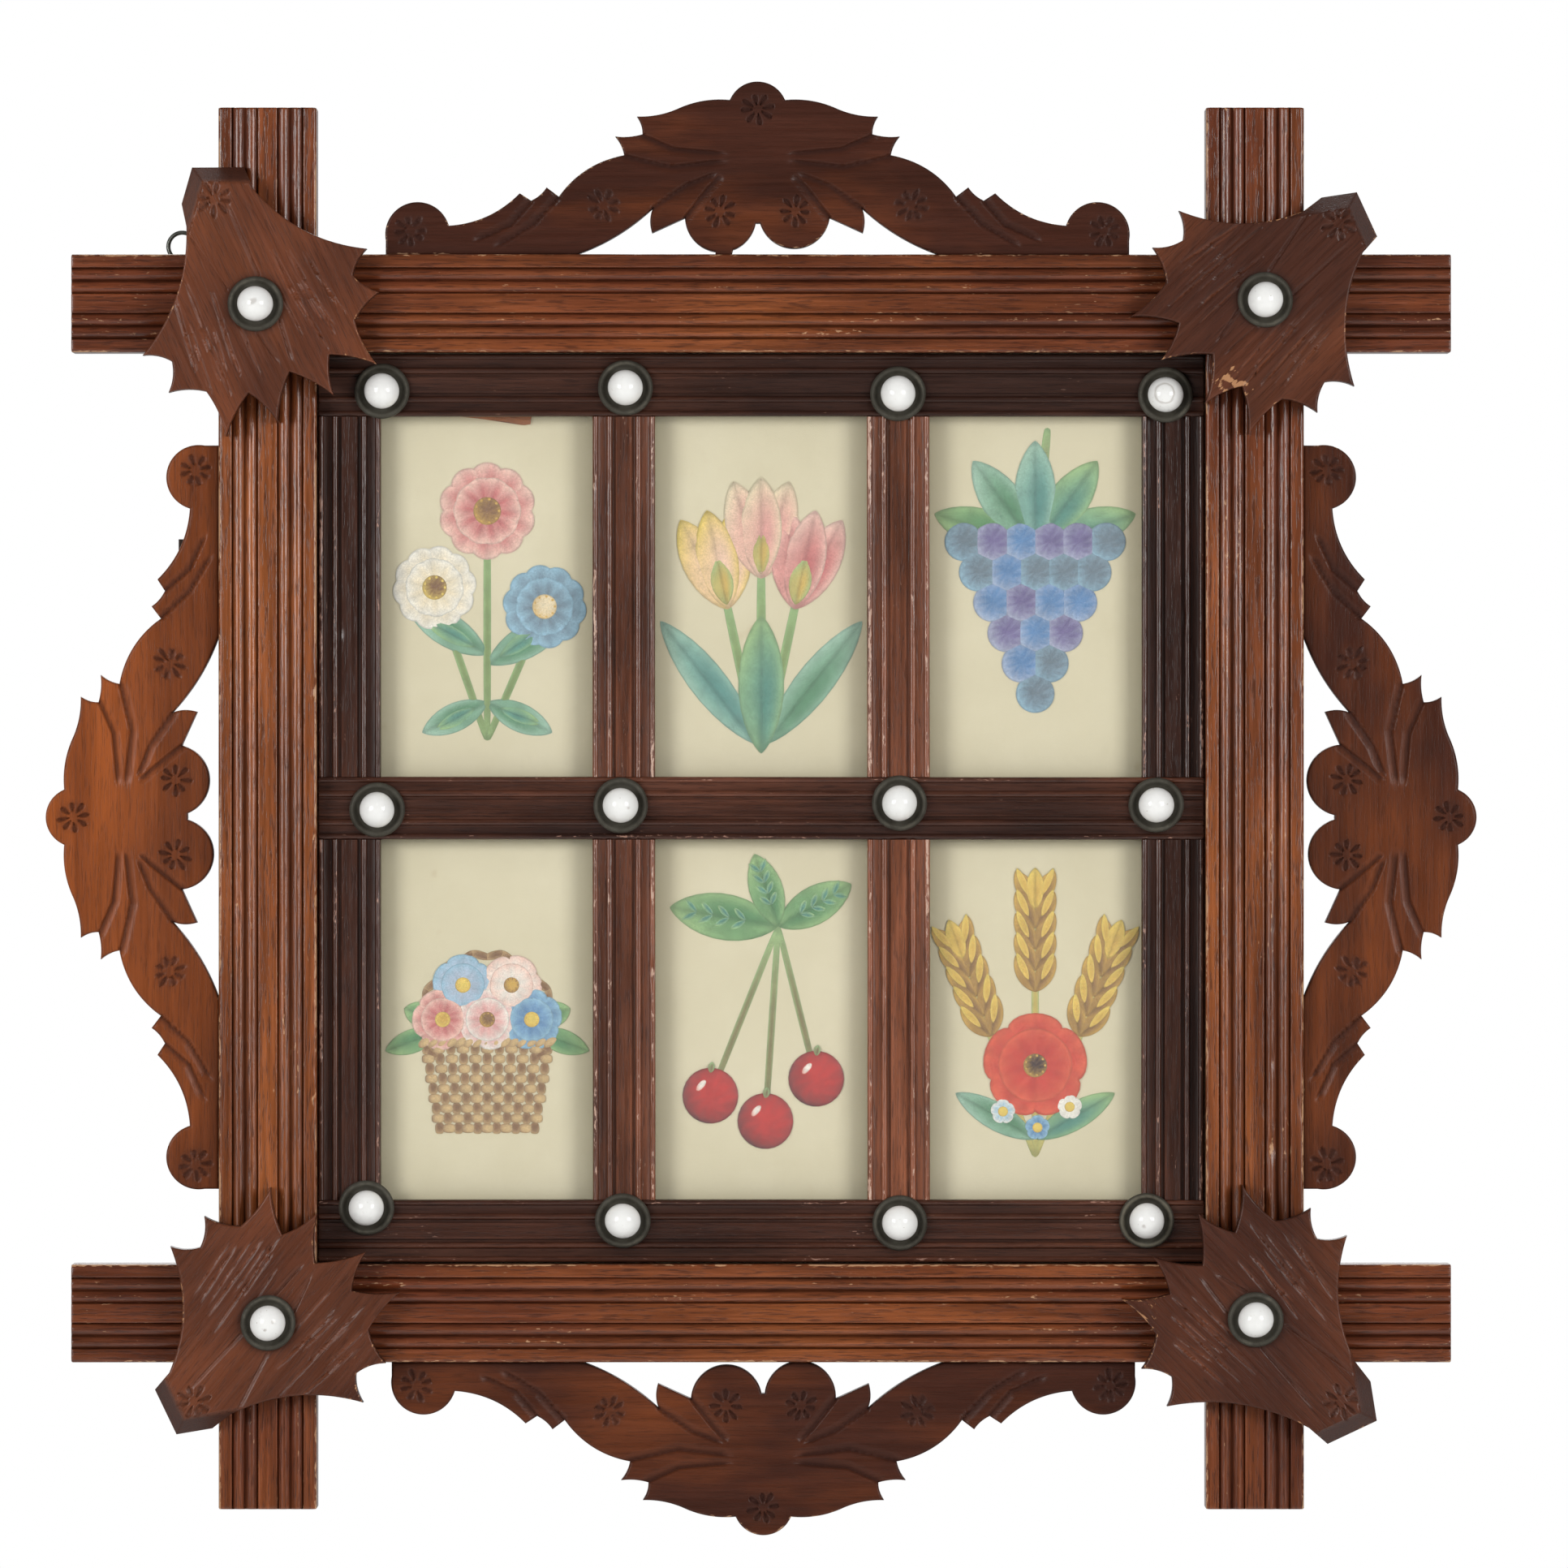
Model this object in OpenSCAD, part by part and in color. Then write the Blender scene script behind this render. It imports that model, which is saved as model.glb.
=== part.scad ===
// Criss-cross wall frame of reeded bars, with carved oak-leaf corners, fretted crests and a
// six-window lattice. Millimetres, +Z up, the front faces -Y and the back lies on y = 0.
// The origin is the middle of the top rail's back face.

/* [Outer bars] */
// Width of a rail or stile, seen from the front
bar_w = 26.6; // [22:0.2:32]
// Thickness of a rail or stile
bar_t = 18; // [16:0.5:24]
// Length of the top and bottom rails
rail_len = 374; // [350:1:420]
// Length of the left and right stiles
stile_len = 380; // [356:1:420]
// Distance between the centre lines of the stiles
stile_gap = 267.6; // [240:0.2:300]
// Distance between the centre lines of the rails
rail_gap = 273.8; // [246:0.2:300]
// Rounding of the bars' end corners, seen from the front
bar_end_r = 1.2; // [0.4:0.2:3]

/* [Reeded moulding] */
// Width of the flat band down the middle of an outer bar
outer_flat_w = 5.3; // [3:0.1:8]
// Width of each reed of an outer bar
outer_reed_w = 3.5; // [2.4:0.1:4]
// Depth of the grooves between the reeds of an outer bar
outer_reed_h = 1.1; // [0.6:0.1:1.6]
// Rounding along the front edges of an outer bar
outer_arris_r = 0.8; // [0.3:0.1:1.5]
// Width of the flat band down the middle of a lattice bar
lattice_flat_w = 4.2; // [3:0.1:6]
// Width of the reed beside that band
lattice_reed_w = 1.8; // [1.2:0.1:2.4]
// Width of the bead along each edge of a lattice bar
lattice_bead_w = 1.6; // [1:0.1:2.2]
// Width of the groove beside the flat band
lattice_groove_w = 0.9; // [0.5:0.1:1.4]
// Depth of the hollows of a lattice bar
lattice_reed_h = 1.0; // [0.5:0.1:1.4]

/* [Lattice] */
// Width of a lattice bar
lattice_w = 17; // [15:0.2:20]
// Thickness of a lattice bar
lattice_t = 5; // [4:0.2:6.5]
// Gap between the lattice and the inner edges of the outer bars
lattice_fit = 0.3; // [0.1:0.1:0.8]

/* [Corner leaves] */
// Thickness of a corner leaf
leaf_t = 9; // [6:0.5:12]
// Reach of the two middle teeth from the tack
leaf_front_r = 32.6; // [30:0.2:38]
// Reach of the next pair of teeth, the longest
leaf_long_r = 36.6; // [33:0.2:42]
// Reach of the two pairs of teeth at the sides
leaf_side_r = 33.6; // [30:0.2:38]
// Reach of the notches between the teeth
leaf_notch_r = 26; // [22:0.2:29]
// Reach of the stem end from the tack
leaf_stem_r = 40; // [36:0.5:46]
// Width of the stem
leaf_stem_w = 19; // [16:0.5:22]
// Width of the bevels around the stem end
leaf_bevel_w = 4.4; // [3:0.2:6]
// Depth of those bevels at the edge
leaf_bevel_h = 6.8; // [4:0.2:8]

/* [Crests] */
// Length of a crest along its bar
crest_len = 202; // [180:1:220]
// Height of a crest above the edge of its bar
crest_h = 47; // [40:0.5:56]
// Thickness of a crest
crest_t = 8.5; // [6:0.5:10]
// Distance of a crest's front behind the front of the bars
crest_set_back = 4; // [2:0.5:5]
// Radius of the round ends of a crest
volute_r = 8.8; // [7:0.2:10]
// Height of the middle of those round ends above the edge of the bar
volute_rise = 5.5; // [4:0.1:7]
// Radius of the two round lobes above the bar
lobe_r = 9.7; // [8.4:0.1:10.5]
// Radius of the round top
ball_r = 8.1; // [6.5:0.1:9.5]
// Distance of the side crests below the middle of the frame
side_crest_drop = 2.4; // [0:0.2:5]
// Width of the glue cleats behind the crests
cleat_w = 9; // [6:0.5:12]
// Reach of the glue cleats from the edge of the bar
cleat_h = 9.6; // [8:0.2:13]
// Thickness of the glue cleats
cleat_t = 4.5; // [3:0.5:5]

/* [Carving] */
// Width of the V-cuts that draw the veins of the leaves and crests
vein_w = 1.2; // [0.6:0.1:1.6]
// Depth of those cuts
vein_h = 0.7; // [0.3:0.1:1]

/* [Porcelain tacks] */
// Diameter of the porcelain heads
head_d = 9.6; // [8:0.2:11]
// Height of the middle of a head above the floor of its cup
head_rise = 2.9; // [2.4:0.1:3.6]
// Diameter of the bronze cups under the heads
cup_d = 15; // [13:0.2:16]
// Height of the rim of a cup
cup_h = 1.8; // [1.2:0.1:2.4]
// Thickness of the floor of a cup
cup_floor = 0.6; // [0.4:0.1:1]
// Diameter of the tacks' shanks
tack_d = 1.8; // [1.2:0.1:2.4]
// Length of the corner tacks below the leaf
corner_tack_bite = 12; // [6:0.5:15]
// Length of the lattice tacks below the cup
lattice_tack_bite = 4.2; // [3:0.2:4.6]
// Gap around a shank in its hole
tack_fit = 0.05; // [0.02:0.01:0.15]

/* [Glazing] */
// Width of the rebate behind the inner edges of the outer bars
rebate_w = 4; // [3:0.5:6]
// Gap between the glazing and the rebate's walls
glazing_fit = 0.4; // [0.2:0.1:1]
// Thickness of the glass
glass_t = 1.6; // [1.2:0.1:2]
// Room between the glass and the card for the paper scraps
scrap_room = 1.0; // [0.8:0.1:2]
// Thickness of the paper scraps
scrap_t = 0.35; // [0.2:0.05:0.6]
// Thickness of the mount card
card_t = 0.6; // [0.4:0.1:1]
// Thickness of the backing board
board_t = 2.2; // [1.6:0.1:3]
// Diameter of the brads that hold the backing board
brad_d = 1.2; // [1:0.1:1.4]
// Length of those brads
brad_len = 12; // [8:0.5:16]
// Length of a brad inside the wood
brad_bite = 7; // [5:0.5:9]
// Gap between the brads and the backing board
brad_fit = 0.05; // [0.02:0.01:0.1]

/* [Slipped strip] */
// Length of the loose strip of wood under the top lattice bar
strip_len = 25; // [15:1:40]
// Height of that strip
strip_h = 6; // [4:0.5:8]
// Thickness of that strip
strip_t = 0.7; // [0.4:0.1:0.8]
// Part of the strip's middle that shows below the bar
strip_show = 0.7; // [0.5:0.1:4]
// Tilt of the strip in degrees
strip_tilt = -8.5; // [-10:0.5:10]
// Distance of the strip's middle to the right of its window's middle
strip_shift = -0.6; // [-12:0.2:12]

/* [Hangers] */
// Outer diameter of the hanging rings
ring_d = 8.8; // [8:0.1:12]
// Diameter of the ring wire
ring_wire = 1.2; // [1:0.1:1.4]
// Distance of each ring from the middle of the rail
ring_x = 157.5; // [152:0.5:170]
// Distance of the ring pivot below the top edge of the rail
ring_drop = 1; // [0:0.2:4]
// Width of the hanger straps
strap_w = 3.2; // [2.4:0.1:4]
// Thickness of the hanger straps
strap_t = 0.7; // [0.5:0.05:0.9]
// Length of a strap below the pivot
strap_len = 15; // [13:0.5:20]
// Gap between the ring wire and the strap's eye
ring_fit = 0.25; // [0.2:0.05:0.4]
// Thickness of the strap where it is rolled into the eye
eye_wall = 0.56; // [0.4:0.02:0.8]
// Margin of the strap around the head of its screw
strap_margin = 0.6; // [0.3:0.1:1]
// Diameter of the hanger screws
screw_d = 2; // [1.6:0.1:2.2]
// Length of the hanger screws in the wood
screw_bite = 9; // [6:0.5:12]
// Diameter of the heads of the hanger screws
screw_head_d = 3.8; // [3.4:0.1:4.4]
// Height of those heads
screw_head_h = 1.2; // [0.8:0.1:1.6]
// Width of the slot across a screw's head
slot_w = 0.6; // [0.4:0.1:0.8]
// Depth of that slot
slot_h = 0.4; // [0.2:0.1:0.6]

/* [Hidden] */

$fn = 48;
// A cut runs past the faces that it leaves by this much
past = 1;

// Colours as the photograph shows them
bar_colour = "#6b3a22";
lattice_colour = "#3b221b";
leaf_colour = "#552d20";
crest_colour = "#4f2a1f";
cleat_colour = "#2f2019";
porcelain_colour = "#e9e6dc";
bronze_colour = "#4a463d";
steel_colour = "#8a8880";
card_colour = "#d8d0ae";
glass_colour = "#dfe9e6";
board_colour = "#8d6f4c";
strip_colour = "#a5653a";

// The sight opening inside the outer bars, and its middle
open_w = stile_gap - bar_w;
open_h = rail_gap - bar_w;
mid_z = -rail_gap / 2;

// Depths from the back: the rebate holds the board, the card and the glass
brad_y = -brad_d / 2;
board_back_y = -brad_d - brad_fit;
card_back_y = board_back_y - board_t;
card_front_y = card_back_y - card_t;
glass_back_y = card_front_y - scrap_room;
rebate_y = glass_back_y - glass_t;
lattice_front_y = rebate_y - lattice_t;
glazing_w = open_w + 2 * (rebate_w - glazing_fit);
glazing_h = open_h + 2 * (rebate_w - glazing_fit);

// Lattice centre lines, measured from the middle of the opening
upright_pitch = (open_w - 2 * lattice_fit - lattice_w) / 3;
crossbar_pitch = (open_h - 2 * lattice_fit - lattice_w) / 2;
upright_x = [for (i = [0:3]) (i - 1.5) * upright_pitch];
crossbar_z = [for (j = [0:2]) (1 - j) * crossbar_pitch];

// Hand-driven tacks sit a little off the crossings, row by row from the top left
lattice_tack_offset = [
  [[8.8, -1.6], [0.4, -0.7], [-0.1, -2.3], [-2, -2.6]],
  [[7.5, -0.4], [-0.9, 0.8], [0.3, 1.4], [-4.5, 0.9]],
  [[4.6, 6.4], [-0.3, 2.9], [0.4, 2.3], [-7.1, 2.9]]];
lattice_tack_xz = [for (j = [0:2]) for (i = [0:3])
  [upright_x[i], crossbar_z[j]] + lattice_tack_offset[j][i]];

// Corners in the order top left, top right, bottom left, bottom right
corner_side = [[-1, 1], [1, 1], [-1, -1], [1, -1]];
corner_tack_offset = [[-3, -0.4], [2.6, 0.7], [0.4, -2.3], [0, -1.4]];
// Hand carving: how the leaf lies, how far its stem turns away from the teeth, and the stem's length
corner_leaf_angle = [115.5, 45, 231, 313.5];
corner_stem_turn = [0, 5, 0, 7];
corner_stem_scale = [1, 0.94, 0.96, 1.05];
corner_xz = [for (c = [0:3])
  [corner_side[c].x * stile_gap / 2, corner_side[c].y * rail_gap / 2] + corner_tack_offset[c]];

// Crest seats on the outer edges: place of the middle of its foot, and the turn from upright
crest_front_y = -bar_t + crest_set_back;
crest_back_y = crest_front_y + crest_t;
rail_edge = rail_gap / 2 + bar_w / 2;
stile_edge = stile_gap / 2 + bar_w / 2;
crest_seat = [
  [[-1, rail_edge], 0],
  [[0.6, -rail_edge], 180],
  [[-stile_edge, -side_crest_drop], 90],
  [[stile_edge, -side_crest_drop], -90]];
// The crest outline below is drawn for this length and height
crest_drawn = [202, 47];
// The lobes stop this far above the edge of the bar, by crest and half; one is cut flat on the bar
lobe_clear = [[1.7, 0.7], [0.85, -0.15], [2.6, 1.5], [1.4, 1]];
// Outer corner of a cleat, along the bar from the crest's middle
cleat_reach = 75.5;
// Cleats that were glued on too high stand up by this much more, by crest and end
cleat_slip = [[0, 0], [0, 0], [1.6, 0], [0, 0]];
// The outer sides of the round ends run straight down to the bar, this far inside the round
volute_flat = 0.15;

// Ring pivot: the eye's bore is centred on the part of the ring that passes through it
ring_r = (ring_d - ring_wire) / 2;
ring_sag = ring_r - sqrt(ring_r * ring_r - strap_w * strap_w / 4);
ring_rise = ring_r - ring_sag / 2;
eye_bore_r = ring_wire / 2 + ring_sag / 2 + ring_fit;
eye_r = eye_bore_r + eye_wall;
pivot_z = bar_w / 2 - ring_drop;
// Screw, measured down from the pivot, clear of the hanging ring
strap_screw_drop = strap_len - screw_head_d / 2 - strap_margin;

// Points from a to b on a shallow arc that bulges to the left by sag, without b
function bow(a, b, sag, steps = 6) = let (d = b - a, n = [-d.y, d.x] / norm(d))
  [for (k = [0:steps - 1]) let (t = k / steps) a + t * d + 4 * t * (1 - t) * sag * n];
// A closed outline from corners [point, bulge of the edge to the next corner]
function outline(corners) = [for (i = [0:len(corners) - 1])
  let (a = corners[i], b = corners[(i + 1) % len(corners)])
  each (a[1] == 0 ? [a[0]] : bow(a[0], b[0], a[1]))];
function polar(angle, r) = r * [cos(angle), sin(angle)];

// Extrudes a drawing in the XZ plane, from its front at y back to y + t
module slab(y, t) translate([0, y + t, 0]) rotate([90, 0, 0]) linear_extrude(t) children();
// Moves children from the middle of the opening to the row frame
module in_frame() translate([0, 0, mid_z]) children();
// Turns children drawn around +Z so that they stand out of the front
module out_of_front(xz, y) translate([xz.x, y, xz.y]) rotate([90, 0, 0]) children();

module rounded_rect(w, h, r) {
  square([w - 2 * r, h], center = true);
  square([w, h - 2 * r], center = true);
  for (sx = [-1, 1], sz = [-1, 1]) translate([sx * (w / 2 - r), sz * (h / 2 - r)]) circle(r);
}

// Section of an outer bar: a flat band, two reeds and an edge band on each side
module outer_section() {
  reed_R = (outer_reed_w * outer_reed_w / 4 + outer_reed_h * outer_reed_h) / (2 * outer_reed_h);
  band_in = outer_flat_w / 2 + 2 * outer_reed_w;
  translate([-bar_w / 2, -bar_t + outer_reed_h]) square([bar_w, bar_t - outer_reed_h]);
  translate([-outer_flat_w / 2, -bar_t]) square([outer_flat_w, bar_t]);
  for (s = [-1, 1]) {
    for (k = [0.5, 1.5])
      translate([s * (outer_flat_w / 2 + k * outer_reed_w), -bar_t + reed_R]) circle(reed_R);
    mirror([s < 0 ? 1 : 0, 0]) {
      translate([band_in, -bar_t]) square([bar_w / 2 - outer_arris_r - band_in, bar_t]);
      translate([bar_w / 2 - outer_arris_r, -bar_t + outer_arris_r]) circle(outer_arris_r);
      translate([bar_w / 2 - outer_arris_r, -bar_t + outer_arris_r])
        square([outer_arris_r, bar_t - outer_arris_r]);
    }
  }
}

// Section of a lattice bar: a flat band, a fine reed, a hollow and an edge bead on each side
module lattice_section() {
  reed_x = lattice_flat_w / 2 + lattice_groove_w + lattice_reed_w / 2;
  translate([-lattice_w / 2, lattice_front_y + lattice_reed_h])
    square([lattice_w, lattice_t - lattice_reed_h]);
  translate([-lattice_flat_w / 2, lattice_front_y]) square([lattice_flat_w, lattice_t]);
  for (s = [-1, 1]) {
    translate([s * reed_x, lattice_front_y + lattice_reed_w / 2]) {
      circle(lattice_reed_w / 2);
      translate([-lattice_reed_w / 2, 0]) square([lattice_reed_w, lattice_reed_h]);
    }
    translate([s * (lattice_w - lattice_bead_w) / 2, lattice_front_y + lattice_bead_w / 2]) {
      circle(lattice_bead_w / 2);
      translate([-lattice_bead_w / 2, 0]) square([lattice_bead_w, lattice_reed_h]);
    }
  }
}

// An upright bar of a section, cut off square with rounded end corners
module upright(len, w, r) intersection() {
  translate([0, 0, -len / 2]) linear_extrude(len) children();
  slab(-bar_t - past, bar_t + 2 * past) rounded_rect(w, len, r);
}
module lying() rotate([0, 90, 0]) children();

// Holes that the bars share with their tacks, brads and screws
module corner_tack_holes() for (p = corner_xz)
  out_of_front(p, -bar_t + corner_tack_bite)
    cylinder(d = tack_d + 2 * tack_fit, h = corner_tack_bite + leaf_t + past);
module lattice_tack_holes() for (p = lattice_tack_xz)
  out_of_front(p, lattice_front_y + lattice_tack_bite)
    cylinder(d = tack_d + 2 * tack_fit, h = lattice_tack_bite + past);
module on_brads() for (a = [0, 90, 180, 270]) {
  reach = (a % 180 == 0 ? glazing_w : glazing_h) / 2 + glazing_fit + brad_bite;
  spread = (a % 180 == 0 ? crossbar_pitch : upright_pitch) / 2;
  for (s = [-1, 1]) rotate([0, -a, 0]) translate([reach, brad_y, s * spread])
    rotate([0, -90, 0]) children();
}
module brad_holes() on_brads()
  cylinder(d = brad_d + 2 * brad_fit, h = brad_bite + past);
module screw_holes() for (s = [-1, 1])
  translate([s * ring_x, 0, rail_gap / 2 + pivot_z - strap_screw_drop]) rotate([90, 0, 0])
    translate([0, 0, -past]) cylinder(d = screw_d + 2 * tack_fit, h = screw_bite + past);
module glazing_pocket() translate([-open_w / 2 - rebate_w, rebate_y, -open_h / 2 - rebate_w])
  cube([open_w + 2 * rebate_w, past - rebate_y, open_h + 2 * rebate_w]);

// A stile keeps its back half where a rail crosses it, and a rail keeps its front half
module stile(side) color(bar_colour) in_frame() difference() {
  translate([side * stile_gap / 2, 0, 0]) upright(stile_len, bar_w, bar_end_r) outer_section();
  for (s = [-1, 1]) translate([side * stile_gap / 2, -bar_t, s * rail_gap / 2])
    cube([bar_w + past, bar_t, bar_w], center = true);
  glazing_pocket();
  corner_tack_holes();
  brad_holes();
}
module rail(side) color(bar_colour) in_frame() difference() {
  translate([0, 0, side * rail_gap / 2]) lying() upright(rail_len, bar_w, bar_end_r) outer_section();
  for (s = [-1, 1]) translate([s * stile_gap / 2, 0, side * rail_gap / 2])
    cube([bar_w, bar_t, bar_w + past], center = true);
  glazing_pocket();
  corner_tack_holes();
  brad_holes();
  if (side > 0) screw_holes();
}

// Lattice bars are halved into each other, with the crossbars in front
module lattice_upright(i) color(lattice_colour) in_frame() difference() {
  translate([upright_x[i], 0, 0])
    upright(open_h - 2 * lattice_fit, lattice_w, bar_end_r / 2) lattice_section();
  for (z = crossbar_z) translate([upright_x[i], lattice_front_y, z])
    cube([lattice_w + past, lattice_t, lattice_w], center = true);
  lattice_tack_holes();
}
module lattice_crossbar(j) color(lattice_colour) in_frame() difference() {
  translate([0, 0, crossbar_z[j]]) lying()
    upright(open_w - 2 * lattice_fit, lattice_w, bar_end_r / 2) lattice_section();
  for (x = upright_x) translate([x, rebate_y, crossbar_z[j]])
    cube([lattice_w, lattice_t, lattice_w + past], center = true);
  lattice_tack_holes();
}

// Leaf outline around its tack, with the stem towards -x: teeth and notches as [angle, reach]
leaf_teeth = [[91, leaf_side_r], [70, leaf_side_r], [38, leaf_long_r], [15, leaf_front_r],
  [-15, leaf_front_r], [-38, leaf_long_r], [-70, leaf_side_r], [-91, leaf_side_r]];
leaf_notches = [[81, leaf_notch_r + 1.5], [55, leaf_notch_r + 1.2], [30, leaf_notch_r - 1.8],
  [1, leaf_notch_r - 5.5], [-30, leaf_notch_r - 1.8], [-55, leaf_notch_r + 1.2], [-81, leaf_notch_r + 1.5]];
// The edges of the teeth and the sides below them are hollow by these much
leaf_flame = -0.7;
leaf_waist = -3.5;
// The stem ends in a peak, with a short facet to its shoulder and a long one to its corner
function on_stem(c, x, y) = let (a = corner_stem_turn[c], k = corner_stem_scale[c])
  k * [x * cos(a) - y * sin(a), x * sin(a) + y * cos(a)];
function stem_corner(c) = on_stem(c, -leaf_stem_r + 5, leaf_stem_w / 2 + 3.5);
function stem_peak(c) = on_stem(c, -leaf_stem_r - 1, 0.3);
function stem_shoulder(c) = on_stem(c, -leaf_stem_r + 6.7, -leaf_stem_w / 2 + 3);
function waist_left(c) = on_stem(c, -28.5, leaf_stem_w / 2 + 3.3);
function waist_right(c) = on_stem(c, -27, -leaf_stem_w / 2 + 1.6);
function leaf_outline(c) = outline([
  for (i = [0:6]) each [[polar(leaf_teeth[i][0], leaf_teeth[i][1]), leaf_flame],
                        [polar(leaf_notches[i][0], leaf_notches[i][1]), leaf_flame]],
  [polar(leaf_teeth[7][0], leaf_teeth[7][1]), leaf_waist],
  [waist_right(c), 0], [stem_shoulder(c), 0], [stem_peak(c), 0], [stem_corner(c), 0],
  [waist_left(c), leaf_waist]]);
// Veins from the cup to the stem and the front notch, and gouges over the teeth, as [from, to]
leaf_veins = [[[-8, -5], [-30, -9.5]], [[-8, 4.2], [-30, 5.2]], [[8, -3.4], [18, -0.8]], [[8, 3.4], [19, 2.4]],
  [[12, -11.8], [-7.6, -9]], [[19.4, -16.8], [-13, -14.4]], [[9, -22.5], [-10.7, -18.9]],
  [[19.4, 12.4], [-10.8, 10.2]], [[16.2, 15.8], [-8.8, 14.3]], [[10.5, 20], [-6.9, 18.2]]];

// Cuts a slope off the front edge from p to q, with the leaf on the right of that line
module front_bevel(p, q, w) {
  d = q - p;
  slope = leaf_bevel_h / w;
  translate([p.x, p.y, leaf_t]) rotate([0, 0, atan2(d.y, d.x)]) rotate([90, 0, 90])
    translate([0, 0, -w]) linear_extrude(norm(d) + 2 * w)
      polygon([[w, -slope * 2 * w], [w, slope * past], [-w - past, slope * past]]);
}
// V-cut from p to q into a front face that stands at height t
module vein(p, q, t) {
  d = q - p;
  rim = (vein_w / 2) * (1 + past / vein_h);
  translate([p.x, p.y, t]) rotate([0, 0, atan2(d.y, d.x)]) rotate([90, 0, 90])
    linear_extrude(norm(d)) polygon([[0, -vein_h], [rim, past], [-rim, past]]);
}

module leaf(c) color(leaf_colour) in_frame() difference() {
  out_of_front(corner_xz[c], -bar_t) rotate([0, 0, corner_leaf_angle[c] - 180]) difference() {
    linear_extrude(leaf_t) polygon(leaf_outline(c));
    front_bevel(stem_peak(c), stem_corner(c), leaf_bevel_w);
    front_bevel(stem_shoulder(c), stem_peak(c), leaf_bevel_w);
    for (v = leaf_veins) vein(v[0], v[1], leaf_t);
  }
  corner_tack_holes();
}

// Half of a crest's outline, from the middle notch round by the foot, the spurs and the top leaf
function on_crest(x, h) = [x * crest_len / crest_drawn.x, h * crest_h / crest_drawn.y];
crest_half = outline([
  [on_crest(0, 8.5), 0], [on_crest(19.6, 10), 0], [on_crest(28.6, 5.9), -0.6],
  [on_crest(28.4, 12.6), -1.3], [on_crest(49.2, 0), 0], [on_crest(92.2, 0), 0],
  [on_crest(92.2, 8), 0], [on_crest(83.6, 7.9), 2], [on_crest(64.5, 16.7), 0],
  [on_crest(61.4, 14.7), 0.4], [on_crest(57.2, 18.3), 0], [on_crest(53.9, 15.8), -2.1],
  [on_crest(36.2, 27), 0.4], [on_crest(38.6, 32.1), 0.4], [on_crest(31.2, 32.7), 0.4],
  [on_crest(32.7, 37.5), 0.6], [on_crest(21.9, 39.5), -1], [on_crest(7.6, 42), 0], [on_crest(0, 42), 0]]);
// Veins of one half, each a line of points
crest_veins = [
  [[29.5, 31.7], [22.8, 28.8], [7.3, 27.4]], [[33.8, 26.1], [23.3, 23.9], [7.3, 25.8]],
  [[27, 13.6], [19.4, 19], [10.6, 22.4]], [[18.4, 11.6], [13.6, 17.8], [9.9, 22]],
  [[62.2, 13.2], [67, 8], [76.5, 3.6]], [[55, 14.2], [61, 8.1], [71, 2.2]]];
// Middle of a lobe, and the middle and size of the foot that was left under one lobe of the top crest
lobe_x = 10;
lobe_foot_x = 9;
lobe_foot = [4.8, 5];
module crest_outline(k) intersection() {
  union() {
    for (m = [0, 1]) mirror([m, 0]) {
      polygon(crest_half);
      translate([crest_len / 2 - volute_r, volute_rise]) circle(volute_r);
      translate([crest_len / 2 - volute_r, 0]) square([volute_r - volute_flat, volute_rise]);
      translate([on_crest(lobe_x, 0).x, lobe_r + lobe_clear[k][m]]) circle(lobe_r);
      if (k == 0 && m == 1) translate([on_crest(lobe_foot_x, 0).x - lobe_foot.x / 2, 0]) square(lobe_foot);
    }
    translate([0, crest_h - ball_r]) circle(ball_r);
  }
  translate([-crest_len, 0]) square([2 * crest_len, 2 * crest_h]);
}
module crest(k) color(crest_colour) in_frame() out_of_front(crest_seat[k][0], crest_back_y)
  rotate([0, 0, crest_seat[k][1]]) difference() {
    linear_extrude(crest_t) crest_outline(k);
    for (m = [0, 1]) mirror([m, 0, 0]) for (v = crest_veins) for (i = [1:len(v) - 1])
      vein(on_crest(v[i - 1].x, v[i - 1].y), on_crest(v[i].x, v[i].y), crest_t);
  }

module crest_cleats() color(cleat_colour) in_frame()
  slab(crest_back_y, min(cleat_t, -crest_back_y)) for (k = [0:3])
    translate(crest_seat[k][0]) rotate(crest_seat[k][1]) for (m = [0, 1]) mirror([m, 0])
      translate([cleat_reach - cleat_w, 0]) square([cleat_w, cleat_h + cleat_slip[k][m]]);

// Porcelain head: a low ball with a flat seat on the cup's floor and a socket for the shank
head_socket = head_d / 2;
module head() difference() {
  translate([0, 0, cup_floor + head_rise]) sphere(d = head_d);
  translate([0, 0, cup_floor - head_d]) cylinder(d = 2 * head_d, h = head_d);
  cylinder(d = tack_d + 2 * tack_fit, h = cup_floor + head_socket);
}
// Bronze cup: a thin floor, a rounded rim and a hole for the shank
module cup() rotate_extrude() difference() {
  union() {
    square([cup_d / 2 - cup_h / 2, cup_floor]);
    translate([cup_d / 2 - cup_h, 0]) square([cup_h, cup_h / 2]);
    translate([cup_d / 2 - cup_h / 2, cup_h / 2]) circle(cup_h / 2);
  }
  translate([-past, -past]) square([tack_d / 2 + tack_fit + past, cup_h + 2 * past]);
  translate([-cup_d, -cup_d]) square([2 * cup_d, cup_d]);
}
module shank(bite) translate([0, 0, -bite])
  cylinder(d = tack_d, h = bite + cup_floor + head_socket - tack_fit);

module on_corners() in_frame() for (p = corner_xz) out_of_front(p, -bar_t - leaf_t) children();
module on_lattice() in_frame() for (p = lattice_tack_xz) out_of_front(p, lattice_front_y) children();

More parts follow.
